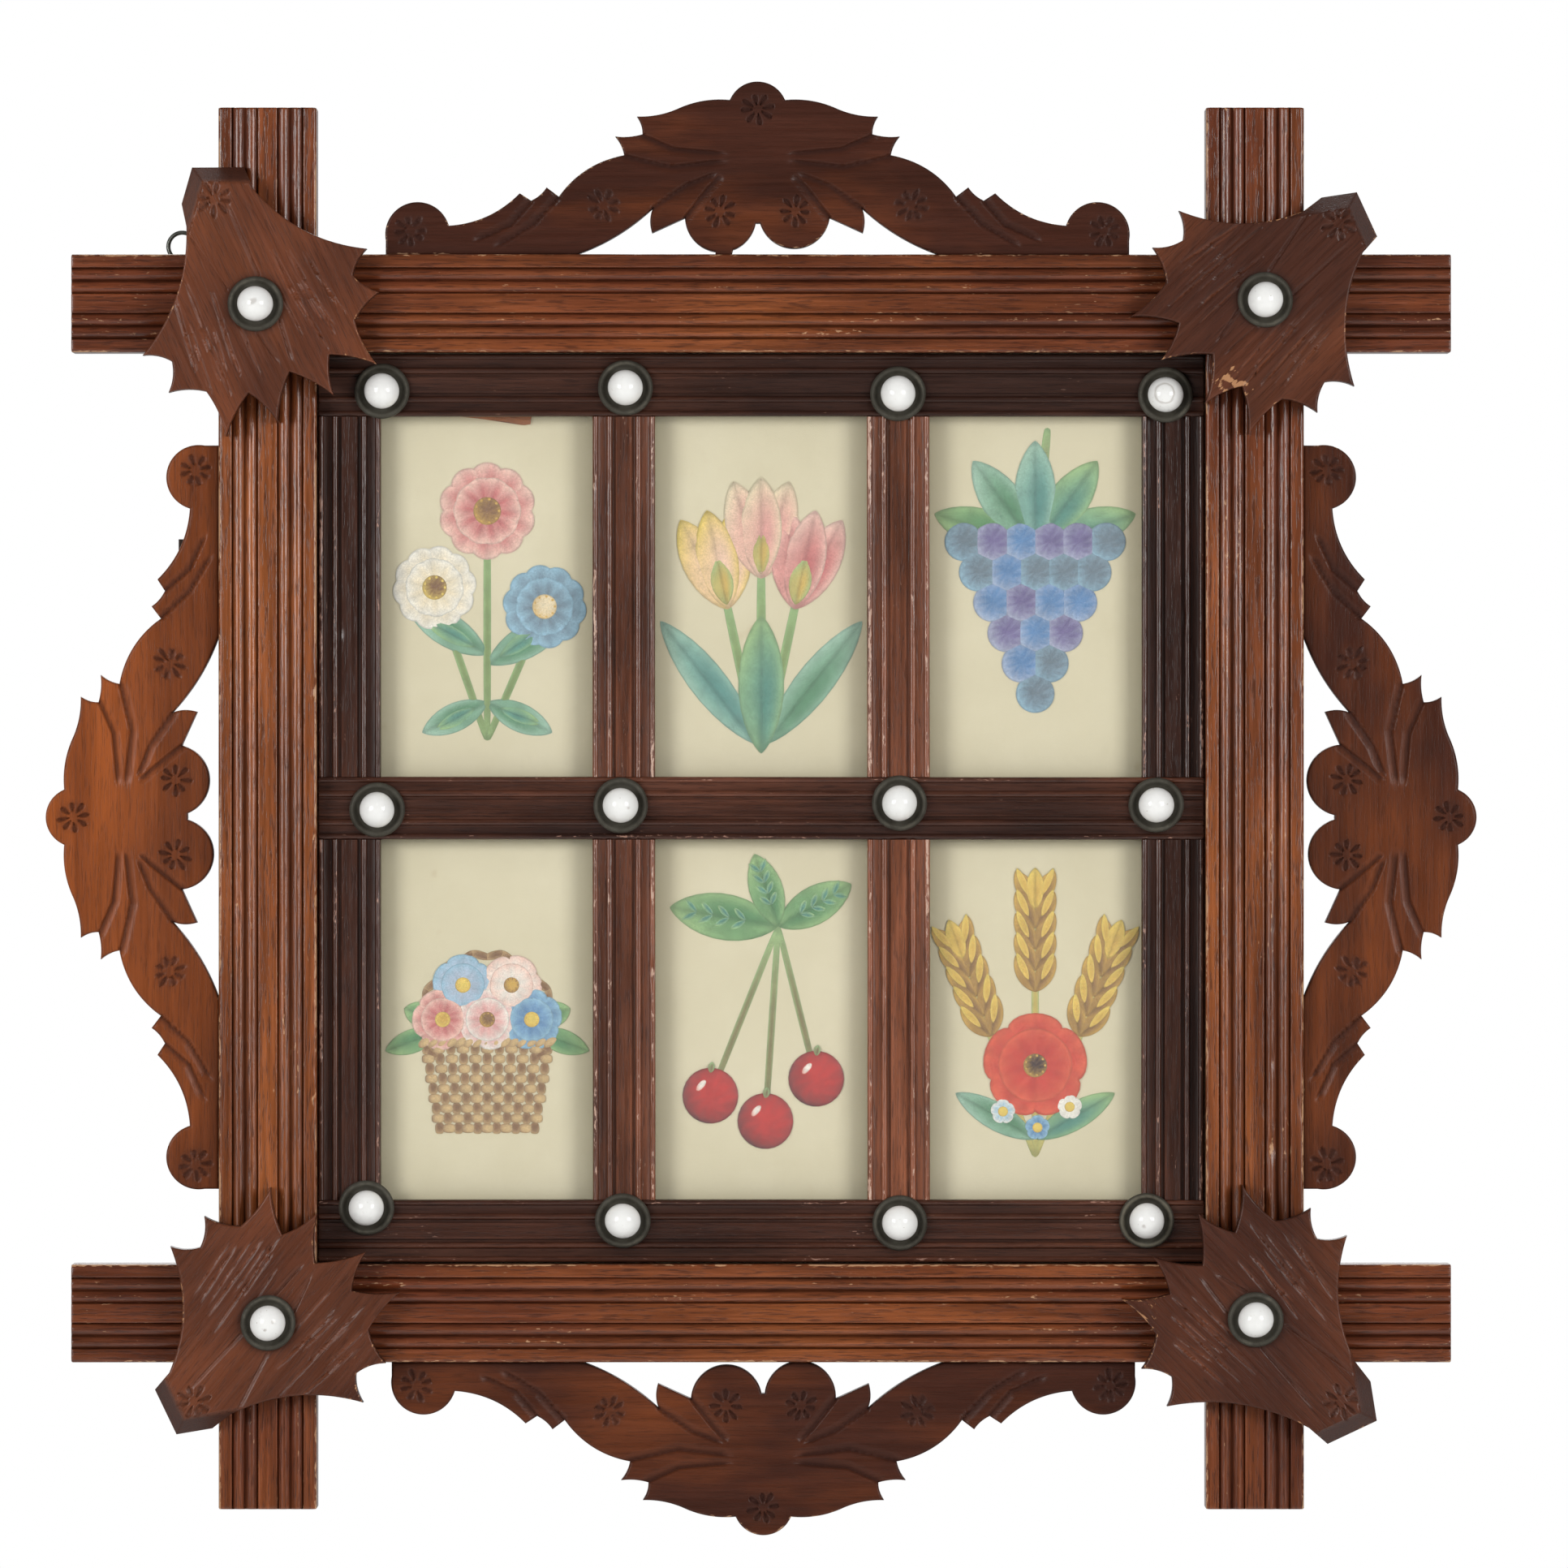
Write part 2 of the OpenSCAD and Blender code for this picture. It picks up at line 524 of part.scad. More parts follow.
module corner_heads() color(porcelain_colour) on_corners() head();
module lattice_heads() color(porcelain_colour) on_lattice() head();
module corner_cups() color(bronze_colour) on_corners() cup();
module lattice_cups() color(bronze_colour) on_lattice() cup();
module corner_tacks() color(steel_colour) on_corners() shank(leaf_t + corner_tack_bite - tack_fit);
module lattice_tacks() color(steel_colour) on_lattice() shank(lattice_tack_bite - tack_fit);

// Flat sheet that fills the glazing pocket
module sheet(y, t) in_frame() translate([-glazing_w / 2, y, -glazing_h / 2])
  cube([glazing_w, t, glazing_h]);
module glass_sheet() color(glass_colour, 0.35) sheet(rebate_y, glass_t);
module mount_card() color(card_colour) sheet(card_front_y, card_t);
module backing_board() color(board_colour) sheet(card_back_y, board_t);
module backing_brads() color(steel_colour) in_frame() on_brads() cylinder(d = brad_d, h = brad_len);

// Loose strip that has slipped down behind the top lattice bar, against the card
module slipped_strip() color(strip_colour) in_frame()
  translate([upright_x[0] + upright_pitch / 2 + strip_shift, 0, crossbar_z[0] - lattice_w / 2])
    slab(card_front_y - strip_t, strip_t) rotate(strip_tilt)
      translate([-strip_len / 2, -strip_show]) square([strip_len, strip_h]);

// Shapes for the printed paper scraps
module lens(len, w) {
  r = (len * len / 4 + w * w / 4) / w;
  intersection() {
    translate([0, r - w / 2]) circle(r);
    translate([0, w / 2 - r]) circle(r);
  }
}
module leaflet(p, angle, len, w) translate(p) rotate(angle) translate([len / 2, 0]) lens(len, w);
module blossom(p, petals, reach, petal_r) translate(p) {
  circle(reach);
  for (k = [0:petals - 1]) translate(polar(90 + k * 360 / petals, reach)) circle(petal_r);
}
module stalk(p, angle, len, w = 1.6) translate(p) rotate(angle) translate([0, -w / 2]) square([len, w]);
// The scraps are drawn for windows at this pitch
scrap_drawn_pitch = 74.4667;
// A scrap glued to the card in the middle of window column i and row j, enlarged by size
module scrap(i, j, size) in_frame() translate([(i - 1) * upright_pitch, 0, (0.5 - j) * crossbar_pitch])
  slab(card_front_y - scrap_t, scrap_t) scale(size * upright_pitch / scrap_drawn_pitch) children();

module scrap_daisies() color("#c9b9a8") scrap(0, 0, 1.3) {
  for (b = [[0, 18, 7, 3.2], [-11, 2, 6, 2.8], [12, -2, 6, 2.8]]) {
    stalk([0, -30], atan2(b[1] + 30, b[0]), norm([b[0], b[1] + 30]));
    blossom([b[0], b[1]], 10, b[2], b[3]);
  }
  leaflet([0, -12], 148, 20, 7);
  leaflet([0, -14], 30, 20, 7);
  leaflet([0, -22], -155, 15, 6);
  leaflet([0, -22], -25, 15, 6);
}
module scrap_tulips() color("#b5555a") scrap(1, 0, 1.25) {
  for (t = [[0, 90, 46], [-1, 102, 40], [1, 78, 40]]) {
    stalk([t[0], -32], t[1], t[2] - 8, 2);
    for (a = [-16, 0, 16]) leaflet([t[0], -32] + polar(t[1], t[2] - 10), t[1] + a, 22, 9);
  }
  leaflet([-1, -32], 128, 34, 8);
  leaflet([1, -32], 52, 34, 8);
  leaflet([0, -34], 90, 30, 10);
}
// Rows of grapes that cover the gaps between each other
grape_r = 4.3;
grape_pitch = 6.2;
grape_row = 6.6;
module scrap_grapes() color("#5d5a86") scrap(2, 0, 1.25) {
  for (row = [0:5]) for (k = [0:5 - row])
    translate([(k - (5 - row) / 2) * grape_pitch, 12 - row * grape_row]) circle(grape_r);
  for (a = [18, 54, 90, 126, 162]) leaflet([0, 11], a, 23, 9);
  stalk([0, 11], 84, 26, 2);
}
module scrap_basket() color("#9a7448") scrap(0, 1, 1.1) {
  polygon([[-13, -28], [13, -28], [17, -6], [-17, -6]]);
  difference() {
    circle(17);
    circle(15);
    translate([-20, -46]) square([40, 36]);
  }
  for (x = [-11, 0, 11]) blossom([x, 0], 5, 4, 3.6);
  for (x = [-6, 6]) blossom([x, 8.5], 5, 4, 3.6);
  leaflet([-12, -3], 200, 14, 6);
  leaflet([12, -3], -20, 14, 6);
}
module scrap_cherries() color("#a5302f") scrap(1, 1, 1.15) {
  for (s = [[-12, -18], [1, -24], [13, -14]]) {
    stalk(s, atan2(22 - s.y, 4 - s.x), norm([4, 22] - s), 1.6);
    translate(s) circle(6.6);
  }
  leaflet([4, 22], 170, 26, 11);
  leaflet([4, 22], 30, 20, 9);
  leaflet([4, 22], 108, 18, 8);
}
module scrap_wheat() color("#c79b52") scrap(2, 1, 1.25) {
  for (t = [[70, 50], [90, 58], [110, 50]]) {
    stalk([0, -30], t[0], t[1]);
    for (k = [0:4]) for (s = [-1, 1])
      leaflet([0, -30] + polar(t[0], t[1] - 22 + 4.6 * k), t[0] + s * 28, 9, 4);
  }
  blossom([0, -10], 5, 6, 5.4);
  leaflet([0, -26], 150, 20, 6);
  leaflet([0, -26], 30, 20, 6);
}

// Brass strap with a rolled eye for the ring
module strap(side) color(bronze_colour) translate([side * ring_x, 0, pivot_z]) difference() {
  union() {
    translate([-strap_w / 2, eye_r, 0]) rotate([0, 90, 0]) cylinder(r = eye_r, h = strap_w);
    translate([-strap_w / 2, 0, -strap_len + strap_w / 2]) cube([strap_w, strap_t, strap_len - strap_w / 2]);
    translate([0, 0, -strap_screw_drop]) rotate([-90, 0, 0])
      cylinder(d = screw_head_d + 2 * strap_margin, h = strap_t);
  }
  translate([-strap_w, eye_r, 0]) rotate([0, 90, 0]) cylinder(r = eye_bore_r, h = 2 * strap_w);
  translate([0, -past, -strap_screw_drop]) rotate([-90, 0, 0])
    cylinder(d = screw_d + 2 * tack_fit, h = strap_t + 2 * past);
}
// Slotted round head of a hanger screw
module screw_head() difference() {
  dome_r = (screw_head_d * screw_head_d / 4 + screw_head_h * screw_head_h) / (2 * screw_head_h);
  intersection() {
    translate([0, 0, screw_head_h - dome_r]) sphere(r = dome_r);
    cylinder(d = 2 * screw_head_d, h = screw_head_h + past);
  }
  translate([0, 0, screw_head_h]) cube([2 * screw_head_d, slot_w, 2 * slot_h], center = true);
}
module strap_screws() color(steel_colour) for (s = [-1, 1])
  translate([s * ring_x, 0, pivot_z - strap_screw_drop]) rotate([-90, 0, 0]) {
    translate([0, 0, -screw_bite + tack_fit]) cylinder(d = screw_d, h = screw_bite + strap_t);
    translate([0, 0, strap_t]) screw_head();
  }
// Hanging ring, stored raised above the rail as it was found
module ring(side) color(steel_colour) translate([side * ring_x, eye_r, pivot_z + ring_rise])
  rotate([90, 0, 0]) rotate_extrude() translate([ring_r, 0]) circle(ring_wire / 2);

stile(-1);  // left_stile
stile(1);  // right_stile
rail(1);  // top_rail
rail(-1);  // bottom_rail
lattice_upright(0);  // lattice_upright_1
lattice_upright(1);  // lattice_upright_2
lattice_upright(2);  // lattice_upright_3
lattice_upright(3);  // lattice_upright_4
lattice_crossbar(0);  // lattice_bar_top
lattice_crossbar(1);  // lattice_bar_middle
lattice_crossbar(2);  // lattice_bar_bottom
leaf(0);  // leaf_top_left
leaf(1);  // leaf_top_right
leaf(2);  // leaf_bottom_left
leaf(3);  // leaf_bottom_right
crest(0);  // crest_top
crest(1);  // crest_bottom
crest(2);  // crest_left
crest(3);  // crest_right
crest_cleats();
corner_heads();
lattice_heads();
corner_cups();
lattice_cups();
corner_tacks();
lattice_tacks();
glass_sheet();
mount_card();
backing_board();
backing_brads();
slipped_strip();
scrap_daisies();
scrap_tulips();
scrap_grapes();
scrap_basket();
scrap_cherries();
scrap_wheat();
strap(-1);  // left_strap
strap(1);  // right_strap
strap_screws();
ring(-1);  // left_ring
ring(1);  // right_ring
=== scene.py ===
import math
import bmesh
import bpy
import numpy as np
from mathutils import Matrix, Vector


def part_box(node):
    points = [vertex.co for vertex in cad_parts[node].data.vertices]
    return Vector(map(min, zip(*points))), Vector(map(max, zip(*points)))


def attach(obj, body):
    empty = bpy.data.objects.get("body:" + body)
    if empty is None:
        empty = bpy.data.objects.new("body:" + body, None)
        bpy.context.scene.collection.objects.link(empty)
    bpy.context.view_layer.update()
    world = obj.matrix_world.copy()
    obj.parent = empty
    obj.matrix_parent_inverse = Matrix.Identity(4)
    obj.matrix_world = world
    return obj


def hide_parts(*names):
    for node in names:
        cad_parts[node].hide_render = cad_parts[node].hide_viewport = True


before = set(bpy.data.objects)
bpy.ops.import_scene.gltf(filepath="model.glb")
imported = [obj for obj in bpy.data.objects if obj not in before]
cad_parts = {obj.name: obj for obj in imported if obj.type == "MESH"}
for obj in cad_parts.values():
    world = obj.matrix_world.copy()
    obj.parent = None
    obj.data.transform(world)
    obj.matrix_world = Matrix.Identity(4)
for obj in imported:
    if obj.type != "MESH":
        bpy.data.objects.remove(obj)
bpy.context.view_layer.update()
mm = 0.001
shown = bpy.context.scene
shown.view_settings.view_transform = "Standard"
print("frame loaded:", len(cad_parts), "solids")


# Places taken from the solids, in millimetres

def nodeSpan(name):
    # lowest and highest corner of a solid
    low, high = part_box(name)
    return np.array(low) / mm, np.array(high) / mm


topLow, topHigh = nodeSpan("top_rail")
bottomLow = nodeSpan("bottom_rail")[0]
barFront = topLow[1]
barWidth = topHigh[2] - topLow[2]
midZ = (topHigh[2] + bottomLow[2]) / 2
stileGap = nodeSpan("right_stile")[0][0] - nodeSpan("left_stile")[0][0]
railGap = topLow[2] - bottomLow[2]
latticeLow, latticeHigh = nodeSpan("lattice_bar_top")
latticeFront, latticeBack = latticeLow[1], latticeHigh[1]
latticeWidth = latticeHigh[2] - latticeLow[2]
uprightX = [float(nodeSpan(f"lattice_upright_{k}")[0][0]) + latticeWidth / 2 for k in (1, 2, 3, 4)]
crossbarZ = [float(nodeSpan(f"lattice_bar_{k}")[0][2]) + latticeWidth / 2 - midZ
             for k in ("top", "middle", "bottom")]
leafFront = nodeSpan("leaf_top_left")[0][1]
cardFront = nodeSpan("mount_card")[0][1]


# Camera and lamps

view = {"aimX": 6.2, "aimZ": 6.6, "distance": 5000, "pictureWidth": 425, "sensor": 36, "nearest": 0.01}
cameraData = bpy.data.cameras.new("camera")
camera = bpy.data.objects.new("camera", cameraData)
shown.collection.objects.link(camera)
cameraData.sensor_width = view["sensor"]
cameraData.lens = view["sensor"] * view["distance"] / view["pictureWidth"]
cameraData.clip_start = view["nearest"]
camera.location = (view["aimX"] * mm, (barFront - view["distance"]) * mm, (midZ + view["aimZ"]) * mm)
camera.rotation_euler = (math.pi / 2, 0, 0)
shown.camera = camera

lamps = {"lampLeft": {"azimuth": -40, "rise": 9, "distance": 1.6, "size": 0.6, "watts": 11},
         "lampRight": {"azimuth": 40, "rise": 9, "distance": 1.6, "size": 0.6, "watts": 11},
         "lampBehind": {"azimuth": 180, "rise": 30, "distance": 1.8, "size": 1.2, "watts": 14}}
studio = {"fill": 0.39, "backdrop": 1.0, "gloss": 0.07, "glossBehind": 0.75, "wallFrom": 0.1, "wallTo": 0.5}


def softLamp(name, lamp):
    # a square lamp on a sphere round the middle of the frame, turned to face it
    data = bpy.data.lights.new(name, "AREA")
    data.size = lamp["size"]
    data.energy = lamp["watts"]
    item = bpy.data.objects.new(name, data)
    shown.collection.objects.link(item)
    a, e = math.radians(lamp["azimuth"]), math.radians(lamp["rise"])
    away = lamp["distance"] * math.cos(e)
    item.location = (away * math.sin(a), -away * math.cos(a), midZ * mm + lamp["distance"] * math.sin(e))
    item.rotation_euler = (math.pi / 2 - e, 0, a)


for name, lamp in lamps.items():
    softLamp(name, lamp)


def feed(tree, socket, source):
    # another node's output is linked; a number or a colour is set on the socket itself
    if isinstance(source, bpy.types.NodeSocket):
        tree.links.new(source, socket)
    elif socket.type == "RGBA":
        socket.default_value = (*source, 1)
    else:
        socket.default_value = source


def addNode(tree, kind, inputs=None, **settings):
    # the settings come first, because they decide which sockets the node has
    item = tree.nodes.new(kind)
    for key, value in settings.items():
        setattr(item, key, value)
    for key, source in (inputs or {}).items():
        feed(tree, item.inputs[key], source)
    return item


def makeWorld():
    # the picture's background is white, the room's fill light is dimmer, and reflections see a dark room
    # in front of the frame and a white wall behind it
    world = bpy.data.worlds.new("studio")
    world.use_nodes = True
    tree = world.node_tree
    tree.nodes.clear()

    def white(strength):
        return addNode(tree, "ShaderNodeBackground", {"Color": (1, 1, 1), "Strength": strength}).outputs[0]

    def choose(factor, first, second):
        return addNode(tree, "ShaderNodeMixShader", {0: factor, 1: first, 2: second}).outputs[0]

    towards = addNode(tree, "ShaderNodeTexCoord").outputs["Object"]
    backwards = addNode(tree, "ShaderNodeSeparateXYZ", {0: towards}).outputs["Y"]
    wall = addNode(tree, "ShaderNodeMapRange",
                   {"Value": backwards, "From Min": studio["wallFrom"], "From Max": studio["wallTo"],
                    "To Min": studio["gloss"], "To Max": studio["glossBehind"]}).outputs["Result"]
    path = addNode(tree, "ShaderNodeLightPath").outputs
    room = choose(path["Is Glossy Ray"], white(studio["fill"]), white(wall))
    seen = choose(path["Is Camera Ray"], room, white(studio["backdrop"]))
    addNode(tree, "ShaderNodeOutputWorld", {"Surface": seen})
    shown.world = world


makeWorld()
print("camera and light ready")


# Finishes

class Recipe:
    # a new material, with short names for the nodes that its colour, gloss and relief are built from
    def __init__(self, name):
        self.material = bpy.data.materials.new(name)
        self.material.use_nodes = True
        self.tree = self.material.node_tree
        self.tree.nodes.clear()
        self.shader = addNode(self.tree, "ShaderNodeBsdfPrincipled")
        addNode(self.tree, "ShaderNodeOutputMaterial", {"Surface": self.shader.outputs[0]})

    def place(self):
        return addNode(self.tree, "ShaderNodeTexCoord").outputs["Object"]

    def attribute(self, name, output="Fac"):
        return addNode(self.tree, "ShaderNodeAttribute", attribute_name=name).outputs[output]

    def mix(self, factor, first, second, blend="MIX"):
        return addNode(self.tree, "ShaderNodeMix", {0: factor, 6: first, 7: second},
                       data_type="RGBA", blend_type=blend).outputs[2]

    def math(self, operation, first, second, clamp=False):
        return addNode(self.tree, "ShaderNodeMath", {0: first, 1: second},
                       operation=operation, use_clamp=clamp).outputs[0]

    def spread(self, source, low, high, outLow=0.0, outHigh=1.0):
        # low to high becomes outLow to outHigh, and holds beyond both
        return addNode(self.tree, "ShaderNodeMapRange",
                       {"Value": source, "From Min": low, "From Max": high,
                        "To Min": outLow, "To Max": outHigh}).outputs["Result"]

    def noise(self, vector, scale, stretch=(1, 1, 1), detail=3.0, roughness=0.55, distortion=0.0):
        # noise in a space that is stretched along its axes
        mapped = addNode(self.tree, "ShaderNodeMapping", {"Vector": vector, "Scale": stretch}).outputs[0]
        return addNode(self.tree, "ShaderNodeTexNoise",
                       {"Vector": mapped, "Scale": scale, "Detail": detail, "Roughness": roughness,
                        "Distortion": distortion}).outputs["Fac"]

    def grey(self, value):
        return addNode(self.tree, "ShaderNodeCombineColor", {0: value, 1: value, 2: value}).outputs[0]

    def bump(self, height, strength, distance):
        return addNode(self.tree, "ShaderNodeBump",
                       {"Height": height, "Strength": strength, "Distance": distance}).outputs[0]

    def done(self, colour, rough, normal=None, shine=None, **others):
        feed(self.tree, self.shader.inputs["Base Color"], colour)
        feed(self.tree, self.shader.inputs["Roughness"], rough)
        if normal is not None:
            feed(self.tree, self.shader.inputs["Normal"], normal)
        if shine is not None:
            feed(self.tree, self.shader.inputs["Specular IOR Level"], shine)
        for label, source in others.items():
            feed(self.tree, self.shader.inputs[label], source)
        return self.material


def stainedWood(name, finish):
    # long figure, fine fibres and short dark pores along the grain, pale where worn (on the reeds' tops
    # partly a painted highlight), dark where dirty and where shade is painted in grooves, cuts and beside
    # other parts;
    # a finish with a turn takes its grain from the solid's place, the others from the piece's attributes
    wood = Recipe(name)
    turn = finish.get("turn")
    if turn is None:
        grain = wood.attribute("grain", "Vector")
    else:
        grain = addNode(wood.tree, "ShaderNodeMapping", {"Vector": wood.place(), "Rotation": turn}).outputs[0]
    figure = wood.noise(grain, 1.0, (5, 75, 75), 4.0, 0.6, 0.8)
    fibre = wood.noise(grain, 1.0, (30, 900, 900), 4.0, 0.65)
    pore = wood.spread(wood.noise(grain, 1.0, (170, 2300, 2300), 2.0, 0.5), 0.53, 0.64)
    cloud = wood.noise(grain, 1.0, (16, 40, 40), 3.0, 0.6)
    flake = wood.noise(grain, 1.0, (420, 1500, 1500), 3.0, 0.6)
    if turn is None:
        tone = wood.math("ADD", wood.attribute("tone"), wood.spread(cloud, 0.3, 0.7, -0.28, 0.28), True)
        wear = wood.attribute("wear")
        grimeAndShade = wood.attribute("grimeAndShade")
    else:
        tone = wood.spread(cloud, 0.3, 0.7)
        wear = wood.spread(cloud, 0.75, 0.9, 0, 0.3)
        grimeAndShade = wood.spread(figure, 0.6, 0.8, 0, 0.3)
    dark = wood.mix(wood.spread(figure, 0.32, 0.68), finish["deep"], finish["middle"])
    warm = wood.mix(wood.spread(figure, 0.35, 0.7), finish["warmDeep"], finish["warm"])
    streak = wood.grey(wood.spread(fibre, 0.35, 0.65, *finish["streak"]))
    colour = wood.mix(0.8, wood.mix(tone, dark, warm), streak, "MULTIPLY")
    colour = wood.mix(wood.math("MULTIPLY", pore, finish["pores"]), colour, finish["poreColour"])
    rubbed = wood.math("ADD", wear, wood.spread(flake, 0.3, 0.7, -0.5, 0.5))
    colour = wood.mix(wood.spread(rubbed, 0.6, 0.78, 0, 0.85), colour, finish["worn"])
    # this dark colour stands for real dirt and also for painted shade in grooves, cuts and beside other parts
    colour = wood.mix(wood.math("MULTIPLY", grimeAndShade, 0.85), colour, finish["grimeAndShade"])
    dull = wood.math("MULTIPLY", grimeAndShade, 0.2)
    rough = wood.math("ADD", wood.spread(fibre, 0.3, 0.7, *finish["gloss"]), dull)
    height = wood.math("SUBTRACT", fibre, wood.math("MULTIPLY", pore, 0.8))
    return wood.done(colour, rough, wood.bump(height, finish["bump"], 0.00012),
                     wood.spread(grimeAndShade, 0, 0.9, finish["shine"], 0.02))


# each finish's dark grime colour serves both dirt and painted shade
barFinish = {"deep": (0.075, 0.019, 0.008), "middle": (0.17, 0.041, 0.0145),
             "warmDeep": (0.175, 0.047, 0.013), "warm": (0.37, 0.107, 0.026), "worn": (0.5, 0.28, 0.15),
             "grimeAndShade": (0.016, 0.005, 0.003), "poreColour": (0.03, 0.009, 0.005), "pores": 0.55,
             "gloss": (0.18, 0.31), "shine": 0.5, "bump": 0.3, "streak": (0.62, 1.25)}
latticeFinish = {"deep": (0.026, 0.0092, 0.0058), "middle": (0.057, 0.0205, 0.012),
                 "warmDeep": (0.1, 0.032, 0.017), "warm": (0.22, 0.072, 0.036), "worn": (0.4, 0.22, 0.16),
                 "grimeAndShade": (0.01, 0.006, 0.005), "poreColour": (0.014, 0.006, 0.005), "pores": 0.4,
                 "gloss": (0.2, 0.34), "shine": 0.5, "bump": 0.25, "streak": (0.7, 1.2)}
leafFinish = {"deep": (0.054, 0.0175, 0.0102), "middle": (0.068, 0.022, 0.0124),
              "warmDeep": (0.135, 0.0415, 0.0182), "warm": (0.185, 0.0535, 0.0222),
              "worn": (0.46, 0.23, 0.11), "grimeAndShade": (0.024, 0.014, 0.012), "poreColour": (0.022, 0.01, 0.007),
              "pores": 0.35, "gloss": (0.24, 0.36), "shine": 0.24, "bump": 0.25, "streak": (0.8, 1.14)}
crestFinish = {"deep": (0.042, 0.0138, 0.0085), "middle": (0.068, 0.021, 0.0122),
               "warmDeep": (0.2, 0.05, 0.0135), "warm": (0.34, 0.086, 0.02), "worn": (0.45, 0.26, 0.15),
               "grimeAndShade": (0.036, 0.017, 0.014), "poreColour": (0.03, 0.012, 0.007), "pores": 0.3,
               "gloss": (0.24, 0.36), "shine": 0.15, "bump": 0.25, "streak": (0.84, 1.1)}
# a lighter, warmer copy of the lattice wood for the two middle uprights: painted light, where the outer
# frame's shade does not reach
litLatticeFinish = dict(latticeFinish, warmDeep=(0.17, 0.055, 0.026), warm=(0.36, 0.118, 0.055),
                         worn=(0.55, 0.36, 0.27))
cleatFinish = dict(barFinish, turn=(0, 0, 0), deep=(0.03, 0.016, 0.01), middle=(0.055, 0.03, 0.018),
                   warmDeep=(0.05, 0.028, 0.016), warm=(0.085, 0.048, 0.028), gloss=(0.6, 0.8), shine=0.3,
                   bump=0.6)
boardFinish = dict(barFinish, turn=(0, math.pi / 2, 0), deep=(0.17, 0.1, 0.05), middle=(0.28, 0.17, 0.09),
                   warmDeep=(0.22, 0.13, 0.065), warm=(0.36, 0.23, 0.125), worn=(0.42, 0.29, 0.18),
                   grimeAndShade=(0.1, 0.06, 0.035), poreColour=(0.09, 0.05, 0.03), gloss=(0.6, 0.8), shine=0.3,
                   bump=0.5)
stripFinish = dict(barFinish, deep=(0.22, 0.068, 0.018), middle=(0.4, 0.13, 0.035),
                   warmDeep=(0.32, 0.1, 0.026), warm=(0.55, 0.2, 0.06), gloss=(0.5, 0.7), shine=0.15)
barWood = stainedWood("barWood", barFinish)
latticeWood = stainedWood("latticeWood", latticeFinish)
litLatticeWood = stainedWood("litLatticeWood", litLatticeFinish)
leafWood = stainedWood("leafWood", leafFinish)
crestWood = stainedWood("crestWood", crestFinish)
cleatWood = stainedWood("cleatWood", cleatFinish)
boardWood = stainedWood("boardWood", boardFinish)
stripWood = stainedWood("stripWood", stripFinish)


def whiteGlaze():
    # milky glaze with pinholes, and brown where the stain attribute says
    glaze = Recipe("whiteGlaze")
    place = glaze.place()
    cloud = glaze.noise(place, 160, detail=2)
    speck = glaze.spread(glaze.noise(place, 1500, detail=2), 0.71, 0.76)
    colour = glaze.mix(cloud, (0.8, 0.797, 0.77), (0.87, 0.87, 0.848))
    colour = glaze.mix(glaze.math("MULTIPLY", speck, 0.6), colour, (0.25, 0.15, 0.08))
    colour = glaze.mix(glaze.attribute("stain"), colour, (0.16, 0.1, 0.055))
    height = glaze.math("SUBTRACT", glaze.noise(place, 420, detail=2), speck)
    rough = glaze.spread(cloud, 0.3, 0.7, 0.07, 0.14)
    return glaze.done(colour, rough, glaze.bump(height, 0.12, 0.0002), 0.4)


def darkMetal(name, finish):
    # tarnish in clouds over the metal, rubbed bright where the wear attribute says
    metal = Recipe(name)
    place = metal.place()
    cloud = metal.noise(place, finish["cloud"], detail=4, roughness=0.6)
    grit = metal.noise(place, finish["cloud"] * 9, detail=2)
    colour = metal.mix(metal.spread(cloud, 0.3, 0.7), finish["dark"], finish["light"])
    rubbed = metal.math("ADD", metal.attribute("wear"), metal.spread(cloud, 0.3, 0.7, -0.3, 0.3))
    colour = metal.mix(metal.spread(rubbed, 0.35, 0.95), colour, finish["rubbed"])
    return metal.done(colour, metal.spread(grit, 0.3, 0.7, *finish["gloss"]), metal.bump(grit, 0.25, 0.0001),
                      finish["shine"], Metallic=finish["metal"])


bronzeFinish = {"cloud": 260, "dark": (0.045, 0.04, 0.03), "light": (0.075, 0.07, 0.056),
                "rubbed": (0.12, 0.108, 0.08), "metal": 0.1, "gloss": (0.42, 0.62), "shine": 0.15}
steelFinish = {"cloud": 300, "dark": (0.12, 0.11, 0.1), "light": (0.3, 0.29, 0.26),
               "rubbed": (0.45, 0.44, 0.42), "metal": 0.85, "gloss": (0.3, 0.5), "shine": 0.5}
brassFinish = {"cloud": 220, "dark": (0.1, 0.075, 0.03), "light": (0.3, 0.22, 0.085),
               "rubbed": (0.55, 0.42, 0.2), "metal": 0.9, "gloss": (0.3, 0.48), "shine": 0.5}
ringFinish = {"cloud": 240, "dark": (0.09, 0.095, 0.08), "light": (0.22, 0.225, 0.2),
              "rubbed": (0.4, 0.4, 0.37), "metal": 0.8, "gloss": (0.32, 0.5), "shine": 0.5}
porcelain = whiteGlaze()
bronze = darkMetal("bronze", bronzeFinish)
steel = darkMetal("steel", steelFinish)
brass = darkMetal("brass", brassFinish)
ringSteel = darkMetal("ringSteel", ringFinish)

# how far into a window the card is darkened beside the uprights and beside the crossbars
cardShade = {"X": 9.5, "Z": 4, "most": 0.5}


